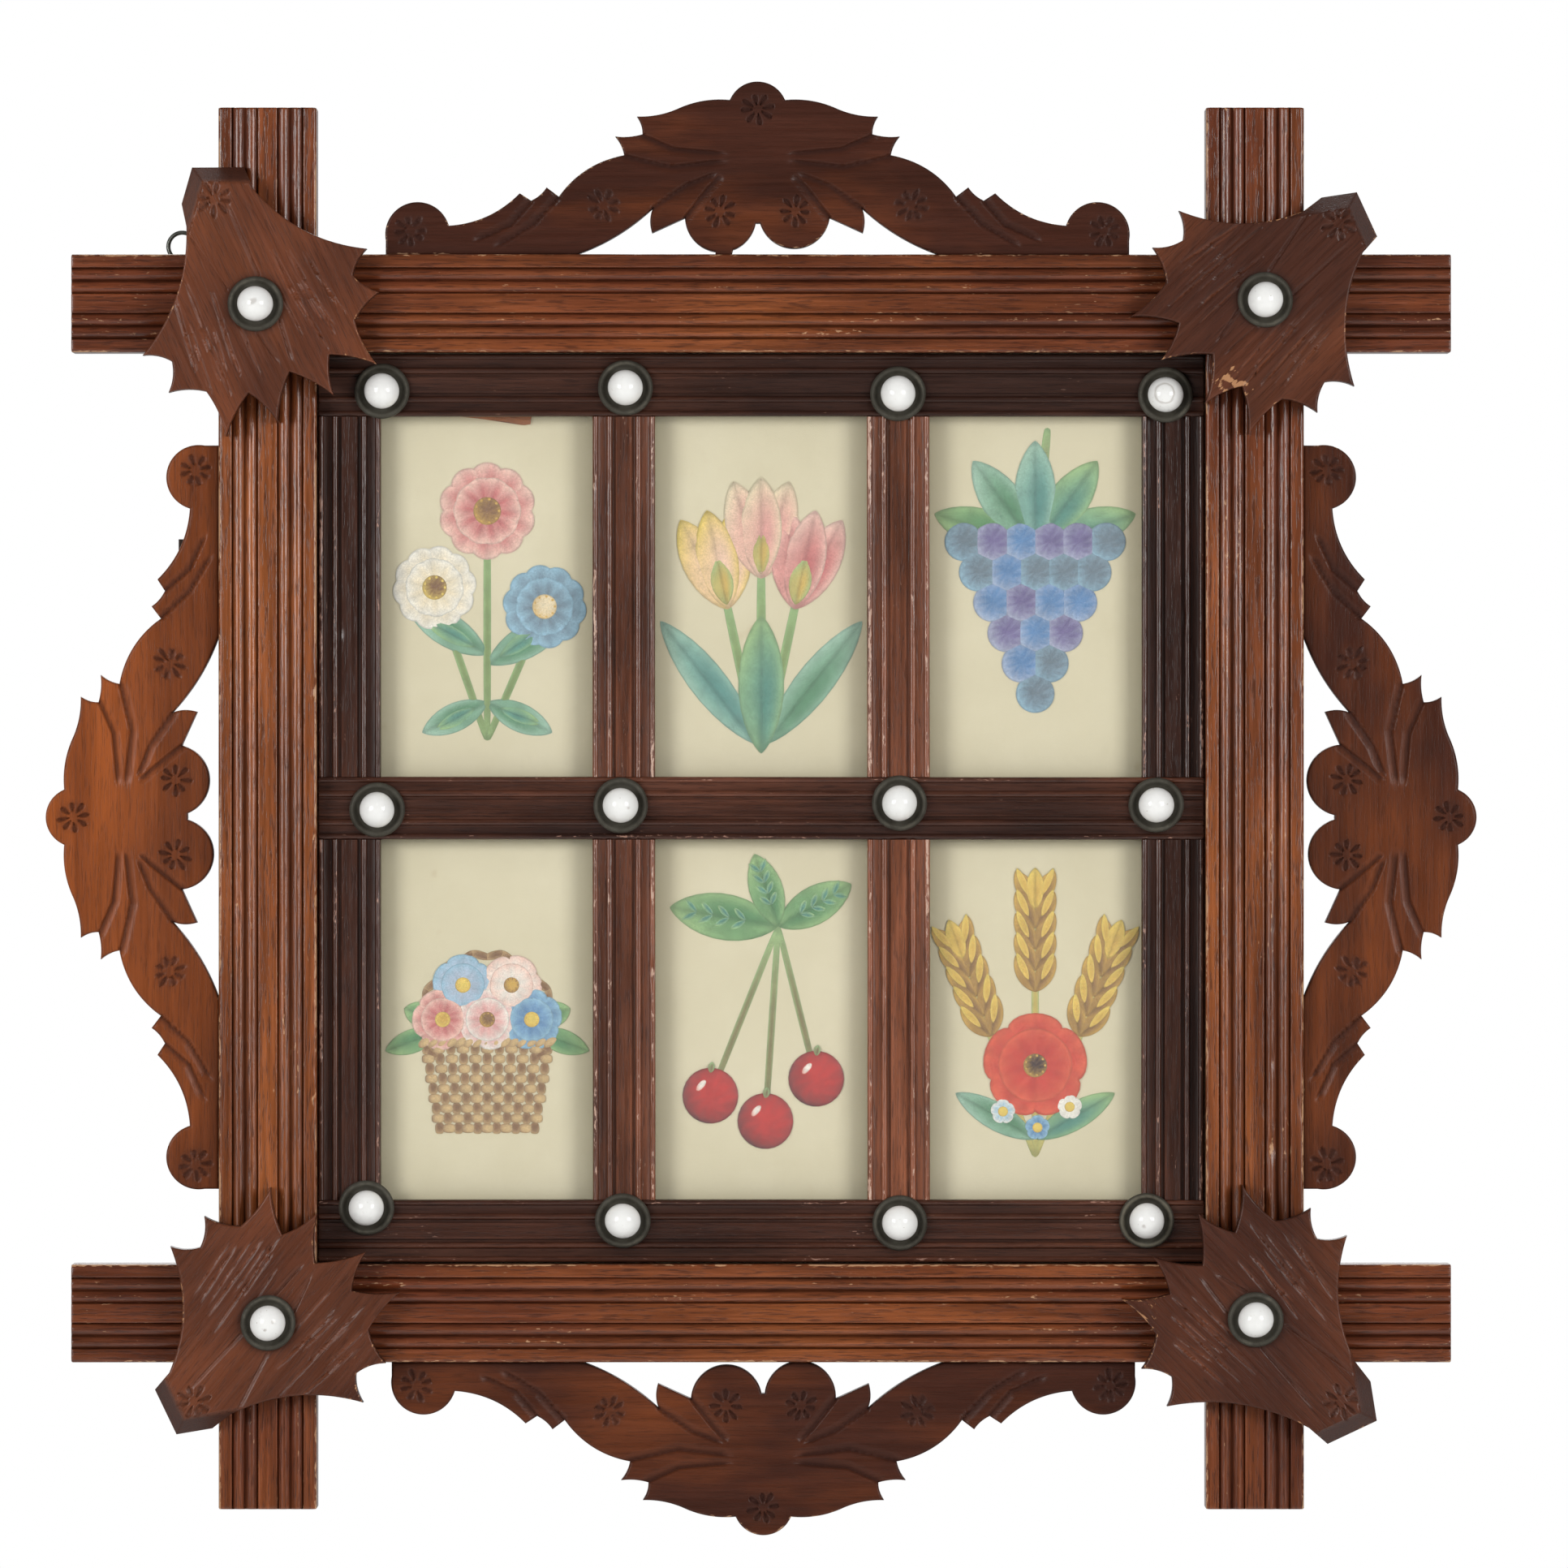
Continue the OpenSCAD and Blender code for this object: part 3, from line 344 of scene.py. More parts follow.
def creamCard():
    # soft fibres, faint clouds of age, a few foxing spots, and shade beside the lattice
    paper = Recipe("creamCard")
    place = paper.place()
    cloud = paper.noise(place, 26, detail=5, roughness=0.6)
    fibre = paper.noise(place, 1100, (1, 1, 1.8), detail=3)
    foxing = paper.spread(paper.noise(place, 95, detail=2), 0.72, 0.8)
    colour = paper.mix(paper.spread(cloud, 0.3, 0.7), (0.62, 0.56, 0.38), (0.69, 0.63, 0.445))
    colour = paper.mix(paper.spread(fibre, 0.3, 0.7, 0, 0.16), colour, (0.56, 0.48, 0.32))
    colour = paper.mix(paper.math("MULTIPLY", foxing, 0.4), colour, (0.42, 0.29, 0.15))
    # the shade falls off with the distance from the nearest bar's middle line
    axes = addNode(paper.tree, "ShaderNodeSeparateXYZ", {0: place}).outputs
    shade = 0.0
    for axis, bars in (("X", uprightX), ("Z", [midZ + z for z in crossbarZ])):
        pitch = abs(bars[1] - bars[0])
        turn = paper.math("ADD", paper.math("DIVIDE", axes[axis], pitch * mm), 20 - bars[1] / pitch)
        away = paper.math("MULTIPLY", paper.math("PINGPONG", turn, 0.5), pitch)
        beside = paper.spread(away, latticeWidth / 2, latticeWidth / 2 + cardShade[axis], 1, 0)
        shade = paper.math("MAXIMUM", shade, beside)
    shade = paper.math("MULTIPLY", paper.math("POWER", shade, 2.0), cardShade["most"])
    colour = paper.mix(shade, colour, (0.4, 0.34, 0.2))
    return paper.done(colour, 0.85, paper.bump(fibre, 0.25, 0.0001), 0.2)


def clearGlass():
    # thin old glass: mostly see-through, with a waver in its surface
    pane = Recipe("clearGlass")
    place = pane.place()
    waver = pane.noise(place, 14, (1, 1, 0.4), detail=2)
    dust = pane.spread(pane.noise(place, 700, detail=3), 0.55, 0.8)
    colour = pane.mix(dust, (0.9, 0.95, 0.93), (0.86, 0.86, 0.82))
    return pane.done(colour, 0.04, pane.bump(waver, 0.1, 0.001), Alpha=pane.spread(dust, 0, 1, 0.03, 0.05))


def printedPaper():
    # printed colour from the piece's own attribute, broken up by a fine stipple, with a satin face
    paper = Recipe("printedPaper")
    place = paper.place()
    stipple = paper.noise(place, 2600, detail=2)
    wash = paper.noise(place, 240, detail=4)
    shade = paper.math("MULTIPLY", paper.spread(stipple, 0.3, 0.7, 0.84, 1.12),
                       paper.spread(wash, 0.3, 0.7, 0.86, 1.1))
    colour = paper.mix(1.0, paper.attribute("ink", "Color"), paper.grey(shade), "MULTIPLY")
    return paper.done(colour, 0.42, paper.bump(wash, 0.12, 0.0002), 0.35)


def paleFloor():
    # faint clouds on a matt pale ground
    ground = Recipe("paleFloor")
    cloud = ground.noise(ground.place(), 3, detail=4)
    colour = ground.mix(cloud, (0.8, 0.8, 0.79), (0.86, 0.86, 0.85))
    return ground.done(colour, ground.spread(cloud, 0.3, 0.7, 0.6, 0.8))


card = creamCard()
glass = clearGlass()
printed = printedPaper()
floorPaint = paleFloor()

# the solids that are shown as they are
for nodeName, material in (("crest_cleats", cleatWood), ("glass_sheet", glass), ("mount_card", card),
                           ("backing_board", boardWood), ("backing_brads", steel), ("corner_tacks", steel),
                           ("lattice_tacks", steel), ("strap_screws", steel), ("left_strap", brass),
                           ("right_strap", brass)):
    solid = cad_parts[nodeName]
    solid.data.materials.clear()
    solid.data.materials.append(material)
print("materials ready:", len(bpy.data.materials))


# Surface tools

def smooth(low, high, value):
    # 0 at low and 1 at high, level at both: t squared times 3 - 2t
    t = np.clip((value - low) / (high - low), 0, 1)
    return t * t * (3 - 2 * t)


def ripple(seed, size, *coords):
    # the sum of nine sine waves of random direction and phase, from about -1 to 1
    rng = np.random.default_rng(seed)
    total = 0
    for _ in range(9):
        wave = rng.normal(0, 1 / size, len(coords))
        total = total + np.sin(sum(f * c for f, c in zip(wave, coords)) + rng.uniform(0, 2 * math.pi))
    return total / 4.5


def arrisDepth(reach, radius):
    # fall of a rounded edge at a distance from that edge
    inside = np.clip(radius - reach, 0, radius)
    return radius - np.sqrt(np.maximum(radius * radius - inside * inside, 0))


def gridFaces(rows, columns, closed=False, start=0):
    # quads between neighbouring rows and columns; closed joins the last column to the first
    index = start + np.arange(rows * columns).reshape(rows, columns)
    nextOne = np.roll(index, -1, axis=1)
    quads = np.stack([index[:-1], nextOne[:-1], nextOne[1:], index[1:]], axis=-1)
    if not closed:
        quads = quads[:, :-1]
    return quads.reshape(-1, 4)


def tubeFaces(rows, columns):
    # a closed grid with a face over each end
    faces = gridFaces(rows, columns, True).tolist()
    faces.append(list(range(columns)))
    faces.append(list(range((rows - 1) * columns, rows * columns))[::-1])
    return faces


def copyFaces(points):
    # closed grids one after another, one for each copy
    count, rows, columns = points.shape[:3]
    base = gridFaces(rows, columns, True)
    return (base[None] + (np.arange(count) * rows * columns)[:, None, None]).reshape(-1, 4).tolist()


def placer(cx, cz, angle):
    # turns a flat place by an angle and moves it to its seat on the frame
    c, s = math.cos(math.radians(angle)), math.sin(math.radians(angle))
    return lambda u, v: (cx + u * c - v * s, cz + u * s + v * c)


def makePiece(name, points, faces, material, nodeNames, attributes, body="frame", crease=38):
    # points in millimetres go into one mesh, doubles are merged and the faces turned outwards
    mesh = bpy.data.meshes.new(name)
    mesh.from_pydata((points.reshape(-1, 3) * mm).tolist(), [], faces)
    for label, values in attributes.items():
        kind, field = {1: ("FLOAT", "value"), 3: ("FLOAT_VECTOR", "vector"),
                       4: ("FLOAT_COLOR", "color")}[1 if values.ndim == 1 else values.shape[1]]
        layer = mesh.attributes.new(label, kind, "POINT")
        layer.data.foreach_set(field, np.ascontiguousarray(values, np.float32).ravel())
    work = bmesh.new()
    work.from_mesh(mesh)
    bmesh.ops.remove_doubles(work, verts=work.verts, dist=2e-7)
    bmesh.ops.dissolve_degenerate(work, edges=work.edges, dist=1e-7)
    bmesh.ops.recalc_face_normals(work, faces=work.faces)
    work.to_mesh(mesh)
    work.free()
    mesh.shade_smooth()
    mesh.set_sharp_from_angle(angle=math.radians(crease))
    mesh.materials.append(material)
    piece = bpy.data.objects.new(name, mesh)
    shown.collection.objects.link(piece)
    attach(piece, body)
    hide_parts(*nodeNames)


def woodLooks(grain, tone, wear, grimeAndShade):
    # the attributes that stainedWood reads, one value for each point
    looks = {"grain": grain.reshape(-1, 3)}
    for label, values in (("tone", tone), ("wear", wear), ("grimeAndShade", grimeAndShade)):
        looks[label] = np.clip(values, 0, 1).ravel()
    return looks


# Reeded bars: the moulding's section carried along each bar, cut by its half laps and the glazing rebate

outerBar = {"flat": 5.3, "reed": 3.5, "groove": 1.1, "arris": 0.9, "bandEdge": 0.45, "rebate": 4.0,
            "rebateDeep": 6.65, "ease": 0.45, "step": 1.4, "chips": 26}
latticeBar = {"flat": 4.2, "groove": 0.9, "reed": 1.8, "bead": 1.6, "deep": 1.0, "ease": 0.4, "step": 1.4,
              "chips": 8}
lapGap = 0.05
suddenGap = 0.01
endRing = 0.88


def overReeds(s):
    # how far a place across an outer bar lies past the middle flat, and whether it is on the reeds
    across = np.abs(s) - outerBar["flat"] / 2
    return across, (across > 0) & (across < 2 * outerBar["reed"])


def outerDepth(s, width):
    # depth below the front: bands with rounded edges, and two round-topped reeds a side between V grooves
    across, onReed = overReeds(s)
    w = outerBar["reed"]
    reeds = outerBar["groove"] * np.abs(2 * np.mod(across, w) / w - 1) ** 1.9
    bands = arrisDepth(np.where(across <= 0, -across, across - 2 * w), outerBar["bandEdge"])
    return np.where(onReed, reeds, bands) + arrisDepth(width / 2 - np.abs(s), outerBar["arris"])


def outerCrown(s, width):
    # wear shows on the arris; the paler reeds' tops and bands' edges are partly wear and partly painted
    # highlight
    onReed = overReeds(s)[1]
    edge = smooth(0.02, 0.15, outerDepth(s, width)) * ~onReed
    tops = 0.32 * onReed * smooth(0.25, 0.0, outerDepth(s, width))
    return tops + 0.4 * edge + smooth(width / 2 - 0.9, width / 2 - 0.2, np.abs(s))


def outerWornAndLitTone(s, width):
    # the bands and the reeds' tops are warmer than the reeds' sides: thinner stain on the bands, painted
    # highlight on the tops and painted shade on the sides
    return np.where(overReeds(s)[1], 0.2 * smooth(0.35, 0.05, outerDepth(s, width)) - 0.2, 0.05)


def latticeDepth(s, width):
    # depth below the front: flat band, a groove, a fine reed, a hollow and an edge bead on each side
    reedR, beadR, deep = latticeBar["reed"] / 2, latticeBar["bead"] / 2, latticeBar["deep"]
    depth = np.where(np.abs(s) <= latticeBar["flat"] / 2, 0, deep)
    reedS = latticeBar["flat"] / 2 + latticeBar["groove"] + reedR
    for middle, radius in ((reedS, reedR), (width / 2 - beadR, beadR)):
        off = np.abs(s) - middle
        bead = radius - np.sqrt(np.maximum(radius * radius - off * off, 0))
        depth = np.where(np.abs(off) < radius, np.minimum(bead, deep), depth)
    return depth


def latticeCrown(s, width):
    # the edge beads and the reeds' tops are paler: partly wear, partly painted highlight
    off = np.abs(s) - latticeBar["flat"] / 2
    onReed = (off > 0.1) * smooth(0.3, 0.0, latticeDepth(s, width))
    return 0.35 * onReed + 0.55 * onReed * smooth(width / 2 - 1.3, width / 2 - 0.9, np.abs(s))


def latticeWornAndLitTone(s, width):
    # the reeds and beads are warmer than the flat: thinner stain and painted highlight
    return np.where(np.abs(s) < latticeBar["flat"] / 2, -0.08, 0.12)


def acrossSamples(edges, counts):
    # places across the section, evenly between the listed edges, mirrored about the middle
    parts = [np.linspace(a, b, n, endpoint=False) for a, b, n in zip(edges[:-1], edges[1:], counts)]
    half = np.concatenate(parts + [[edges[-1]]])
    return np.unique(np.concatenate([-half, half]))


def stations(length, step, steps, ease):
    # places along a bar: even steps, close together at its eased ends, a pair at each sudden change, and
    # the first and last place twice
    even = np.linspace(-length / 2, length / 2, int(length / step) + 1)
    ends = length / 2 - ease * np.array([0, 0.03, 0.12, 0.3, 0.55, 1.0])
    sudden = np.concatenate([[b - suddenGap, b + suddenGap] for b in steps])
    places = np.unique(np.concatenate([even, ends, -ends, sudden]))
    return np.concatenate([places[:1], places, places[-1:]])


def within(t, spans):
    # whether each station lies in one of the spans, which are listed as a start and an end in turn
    inside = np.zeros(len(t), bool)
    for a, b in zip(spans[::2], spans[1::2]):
        inside |= (t > a) & (t < b)
    return inside


def barKnocks(bar, along, across, length, width):
    # soft dents on the arrises and reeds, each a bell that is longer along the bar than across it
    rng = np.random.default_rng(bar["seed"])
    count = bar["shape"]["chips"]
    t = rng.uniform(-length / 2, length / 2, count)
    s = np.where(rng.random(count) < 0.6, rng.choice([-1, 1], count) * (width / 2 - 0.3),
                 rng.uniform(-width / 2, width / 2, count))
    long = rng.uniform(0.6, 2.6, count)
    deep = rng.uniform(0.12, 0.4, count)
    bells = deep * np.exp(-((along[..., None] - t) / long) ** 2 - ((across[..., None] - s) / 0.5) ** 2)
    return bells.sum(axis=2)


def barLooks(bar, t, gap, place, loopS, loopY, knocks, width):
    # wear on the crowns (on the reeds partly a painted highlight), knocks and ends; dirt and painted shade in
    # the hollows, and duller sides, back and end faces
    s, seed, fronts = bar["across"], bar["seed"], len(bar["across"])
    crown = np.full(loopS.shape, 0.12)
    crown[:, :fronts] = bar["crown"](s, width)
    patch = np.clip(0.5 + 0.5 * ripple(seed + 3, 9, place, loopS * 3), 0, 1)
    wear = bar["rub"] * crown * (0.25 + 0.6 * patch ** 2)
    wear[:, :fronts] += bar["rub"] * np.clip(knocks * 1.6, 0, 0.6)
    wear += 0.3 * smooth(1.2, 0.0, gap)[:, None] * patch
    grimeAndShade = np.zeros(loopS.shape)
    # darker the deeper the groove: dirt and painted shade; then a floor that darkens the whole bar
    grimeAndShade[:, :fronts] = bar["dirt"] * smooth(0.35, 0.9, bar["depth"](s, width))
    grimeAndShade = np.maximum(grimeAndShade * (0.85 + 0.15 * ripple(seed + 4, 40, t[:, None], 0)), bar["smoke"])
    grimeAndShade[:, fronts:] = np.maximum(grimeAndShade[:, fronts:], 0.32 + 0.1 * patch[:, fronts:])
    grimeAndShade[[0, -1]] = 0.45
    thin = np.zeros(loopS.shape)
    thin[:, :fronts] = bar["thin"](s, width)
    tone = bar["tone"](t)[:, None] + 0.14 * ripple(seed + 5, 25, place, loopS * 3) + thin
    grain = np.stack([place * mm + seed * 0.37, loopS * mm + seed * 0.11, loopY * mm], axis=-1)
    return woodLooks(grain, tone, wear, grimeAndShade)


def carryBar(name, bar):
    # the section's points stand across the bar; each station moves them back or forward by laps and wear
    low, high = nodeSpan(bar["node"])
    alongAxis, acrossAxis = (2, 0) if bar["upright"] else (0, 2)
    length = high[alongAxis] - low[alongAxis]
    width = high[acrossAxis] - low[acrossAxis]
    front, back, shape, seed = bar["front"], bar["back"], bar["shape"], bar["seed"]
    half = (front + back) / 2
    t = stations(length, shape["step"], bar["laps"] + bar["rebate"], shape["ease"])
    rows = len(t)
    tt, ss = np.meshgrid(t, bar["across"], indexing="ij")
    knocks = barKnocks(bar, tt, ss, length, width)
    hollow = bar["depth"](bar["across"], width) * (1 + 0.1 * ripple(seed, 30, tt, ss * 3))
    yFront = front + (hollow + 0.05 * ripple(seed + 1, 18, tt, ss * 2)) + knocks
    inLap = within(t, bar["laps"])
    if bar["frontLap"]:
        yFront = np.where(inLap[:, None], np.maximum(yFront, half + lapGap), yFront)
    yBack = np.where(inLap & (not bar["frontLap"]), half - lapGap, back)
    # the loop goes over the front, down the inner side, round the rebate, along the back and up again
    down = np.array([0.12, 0.35, 0.7])
    innerY = yFront[:, -1:] + (yBack[:, None] - yFront[:, -1:]) * down
    outerY = yFront[:, :1] + (yBack[:, None] - yFront[:, :1]) * down[::-1]
    inRebate = within(t, bar["rebate"]) & (yBack > -outerBar["rebateDeep"])
    innerY = np.where(inRebate[:, None], np.minimum(innerY, -outerBar["rebateDeep"]), innerY)
    lipY = np.where(inRebate, -outerBar["rebateDeep"], yBack)
    lipS = np.where(inRebate, width / 2 - outerBar["rebate"], width / 2)
    side = np.full((rows, 3), width / 2)
    cornerS = np.column_stack([side[:, 0], lipS, np.where(inRebate, lipS, width / 2 - 1)])
    cornerY = np.column_stack([lipY, lipY, yBack])
    backS = np.linspace(width / 2 - outerBar["rebate"] - 0.5, -width / 2, 6) * np.ones((rows, 1))
    backY = yBack[:, None] * np.ones((1, 6))
    loopS = np.concatenate([ss, side, cornerS, backS, -side], axis=1)
    loopY = np.concatenate([yFront, innerY, cornerY, backY, outerY], axis=1)
    # the ends are eased by drawing the section in, and the first and last stations lie inside the end faces
    gap = np.minimum(length / 2 - np.abs(t), shape["ease"])
    drawn = arrisDepth(gap, shape["ease"])[:, None]
    ring = np.ones((rows, 1))
    ring[[0, -1]] = endRing
    loopS = loopS * (1 - drawn / (width / 2)) * ring
    loopY = half + (loopY - half) * (1 - drawn / (back - front) * 2) * ring
    bow = 0.12 * ripple(seed + 2, 90, t)
    points = np.zeros((*loopS.shape, 3))
    points[..., alongAxis] = (low + high)[alongAxis] / 2 + t[:, None]
    points[..., acrossAxis] = (low + high)[acrossAxis] / 2 + bar["inner"] * (loopS + bow[:, None])
    points[..., 1] = loopY
    looks = barLooks(bar, t, gap, points[..., alongAxis], loopS, loopY, knocks, width)
    makePiece(name, points, tubeFaces(*loopS.shape), bar["material"], [bar["node"]], looks)


def lapsAt(centres, width):
    # the two edges of each lap, half a width to either side of its centre
    return [edge for c in sorted(centres) for edge in (c - width / 2, c + width / 2)]


flat, reed, bandEdge = outerBar["flat"] / 2, outerBar["reed"], outerBar["bandEdge"]
lastReed = flat + 2 * reed
outerAcross = acrossSamples([0, flat - bandEdge, flat, flat + 0.02, flat + reed, lastReed - 0.02, lastReed,
                             lastReed + bandEdge, barWidth / 2 - outerBar["arris"], barWidth / 2],
                            [3, 5, 1, 12, 12, 1, 5, 3, 7])
outerBars = {
    "leftStile": {"node": "left_stile", "upright": True, "inner": 1, "seed": 3,
                  "tone": lambda t: 0.24 + 0.5 * smooth(165, 60, np.abs(t))},
    "rightStile": {"node": "right_stile", "upright": True, "inner": -1, "seed": 8,
                   "tone": lambda t: 0.08 + 0.46 * smooth(170, 40, np.abs(t + 30))},
    "topRail": {"node": "top_rail", "upright": False, "inner": -1, "seed": 14,
                "tone": lambda t: 0.12 + 0.25 * smooth(120, 20, np.abs(t + 10)) - 0.14 * smooth(120, 160, t)},
    "bottomRail": {"node": "bottom_rail", "upright": False, "inner": 1, "seed": 21,
                   "tone": lambda t: 0.12 + 0.36 * smooth(130, 20, np.abs(t))},
}
for name, bar in outerBars.items():
    gapAlong = railGap if bar["upright"] else stileGap
    rebateEnd = (gapAlong - barWidth) / 2 + outerBar["rebate"]
    bar.update(shape=outerBar, front=barFront, back=0.0, across=outerAcross, depth=outerDepth,
               crown=outerCrown, thin=outerWornAndLitTone, dirt=0.9, rub=0.88, smoke=0.0, frontLap=bar["upright"],
               laps=lapsAt([-gapAlong / 2, gapAlong / 2], barWidth), rebate=[-rebateEnd, rebateEnd],
               material=barWood, slot="bar_wood")
    carryBar(name, bar)
print("outer bars done")

flat, groove, reed = latticeBar["flat"] / 2, latticeBar["groove"], latticeBar["reed"]
latticeAcross = acrossSamples([0, flat, flat + 0.02, flat + groove, flat + groove + reed,
                               latticeWidth / 2 - latticeBar["bead"], latticeWidth / 2], [3, 1, 2, 9, 3, 9])
# warmth of the stain, dark in the hollows (dirt and painted shade), pale wear and darkening over all; the
# cooler, darker settings of the uprights beside the stiles and of the top crossbar are painted shade from the
# outer frame
latticeTones = {"lattice_upright_1": (0.11, 0.65, 0.7, 0.0), "lattice_upright_2": (0.32, 0.4, 0.8, 0.0),
                "lattice_upright_3": (0.75, 0.3, 1.1, 0.0), "lattice_upright_4": (0.1, 0.7, 0.7, 0.02),
                "lattice_bar_top": (0.0, 0.5, 0.1, 0.36), "lattice_bar_middle": (0.2, 0.4, 0.35, 0.1),
                "lattice_bar_bottom": (0.14, 0.5, 0.3, 0.05)}
for number, (node, (warmth, dirt, rub, smoke)) in enumerate(latticeTones.items()):
    upright = "upright" in node
    low, high = nodeSpan(node)
    centre = (low[2] + high[2]) / 2 - midZ if upright else (low[0] + high[0]) / 2
    crossings = [c - centre for c in (crossbarZ if upright else uprightX)]
    carryBar(node.title().replace("_", ""), {
        "node": node, "upright": upright, "inner": 1, "seed": 40 + 7 * number, "shape": latticeBar,
        "front": latticeFront, "back": latticeBack, "across": latticeAcross, "depth": latticeDepth,
        "crown": latticeCrown, "thin": latticeWornAndLitTone, "dirt": dirt, "rub": rub, "smoke": smoke,
        "laps": lapsAt(crossings, latticeWidth), "rebate": [], "frontLap": upright,
        "material": litLatticeWood if warmth > 0.3 else latticeWood, "slot": "lattice_wood",
        "tone": lambda t, warmth=warmth: warmth + 0 * t})
print("lattice done")


# Carved pieces: flat boards whose front is lowered by veins, chip-carved stars, bevels and rounded edges

def turned(points, angle, scale):
    # points turned anticlockwise about the middle and scaled
    a = math.radians(angle)
    return scale * np.asarray(points, float) @ np.array([[math.cos(a), math.sin(a)],
                                                         [-math.sin(a), math.cos(a)]])


def mirrored(points):
    # the same points on the other side of x = 0
    return points * np.array([-1, 1])


def traceEdge(corners, step, closed=True):
    # corners [x, z, sag]: each edge is a line, or an arc that leaves its chord by sag to the left
    corners = np.asarray(corners, float)
    ends = np.roll(corners, -1, axis=0) if closed else corners[1:]
    parts = []
    for (ax, az, sag), (bx, bz, _) in zip(corners, ends):
        length = math.hypot(bx - ax, bz - az)
        t = np.linspace(0, 1, max(int(length / step), 2), endpoint=False)
        lift = 4 * t * (1 - t) * sag / length
        parts.append(np.column_stack([ax + t * (bx - ax) - lift * (bz - az),
                                      az + t * (bz - az) + lift * (bx - ax)]))
    if not closed:
        parts.append(corners[-1:, :2])
    return np.concatenate(parts)


def arcPoints(cx, cz, radius, fromAngle, toAngle, count):
    # even steps round a circle, from angle to angle
    a = np.radians(np.linspace(fromAngle, toAngle, count))
    return np.column_stack([cx + radius * np.cos(a), cz + radius * np.sin(a)])


def inChunks(job, x, z, size=6000):
    # runs a job over the points a few thousand at a time, to save memory
    return np.concatenate([job(x[k:k + size], z[k:k + size]) for k in range(0, len(x), size)])


def segmentReach(x, z, starts, ends):
    # distance of each point to each segment, and where along the segment the nearest place is
    dx, dz = (ends - starts).T
    px = x[:, None] - starts[:, 0]
    pz = z[:, None] - starts[:, 1]
    along = np.clip((px * dx + pz * dz) / np.maximum(dx * dx + dz * dz, 1e-9), 0, 1)
    return np.hypot(px - along * dx, pz - along * dz), along


def edgeReach(x, z, loop):
    # shortest distance of each point to a closed outline
    ends = np.roll(loop, -1, axis=0)
    return inChunks(lambda a, b: segmentReach(a, b, loop, ends)[0].min(axis=1), x, z)


def veinDepth(x, z, lines, deep, steep, gentle):
    # cuts [x, z, x, z, start, end], each with a steep and a gentle side; a start or an end of 0 runs out
    lines = np.asarray(lines, float)
    starts, ends = lines[:, :2], lines[:, 2:4]
    dx, dz = (ends - starts).T

    def cut(a, b):
        reach, along = segmentReach(a, b, starts, ends)
        side = (a[:, None] - starts[:, 0]) * dz - (b[:, None] - starts[:, 1]) * dx
        wide = np.where(side > 0, steep, gentle)
        fadeIn = np.minimum(smooth(-0.02, 0.2, along) + lines[:, 4], 1)
        fadeOut = np.minimum(smooth(1.02, 0.7, along) + lines[:, 5], 1)
        return (deep * (fadeIn * fadeOut) * np.clip(1 - reach / wide, 0, 1) ** 1.2).max(axis=1)

    return inChunks(cut, x, z)


def starDepth(x, z, centre, radius, deep, turn, seed, petals=8):
    # petals are chips round an uncut middle, widest near their outer ends, deepest along their middle lines
    rng = np.random.default_rng(seed)
    depth = np.zeros(x.shape)
    for k in range(petals):
        a = turn + (k + rng.uniform(-0.12, 0.12)) * 2 * math.pi / petals
        u = (x - centre[0]) * math.cos(a) + (z - centre[1]) * math.sin(a)
        v = (z - centre[1]) * math.cos(a) - (x - centre[0]) * math.sin(a)
        t = np.clip((u - 0.3 * radius) / (radius * rng.uniform(0.62, 0.8)), 0, 1)
        half = 0.29 * radius * t ** 0.6 * np.sqrt(1 - t ** 5)
        chip = deep * np.clip(1 - np.abs(v) / np.maximum(half, 1e-6), 0, 1) * ((t > 0) & (t < 1))
        depth = np.maximum(depth, chip)
    return depth


def fanGrid(loop, pole, rows, inset):
    # rings of points from a pole out to an outline, and closer rings just inside that outline
    reach = np.hypot(*(loop - pole).T)
    spokes = np.linspace(0.02, 1, rows)[:, None] * (1 - 1.6 / reach)
    scales = np.concatenate([[0 * reach], spokes, 1 - np.array(inset)[:, None] / reach])
    return pole + scales[..., None] * (loop - pole)


def backFan(loop, pole):
    # the pole, a ring half way out and the outline, for a flat back
    return pole + np.array([0, 0.5, 1])[:, None, None] * (loop - pole)


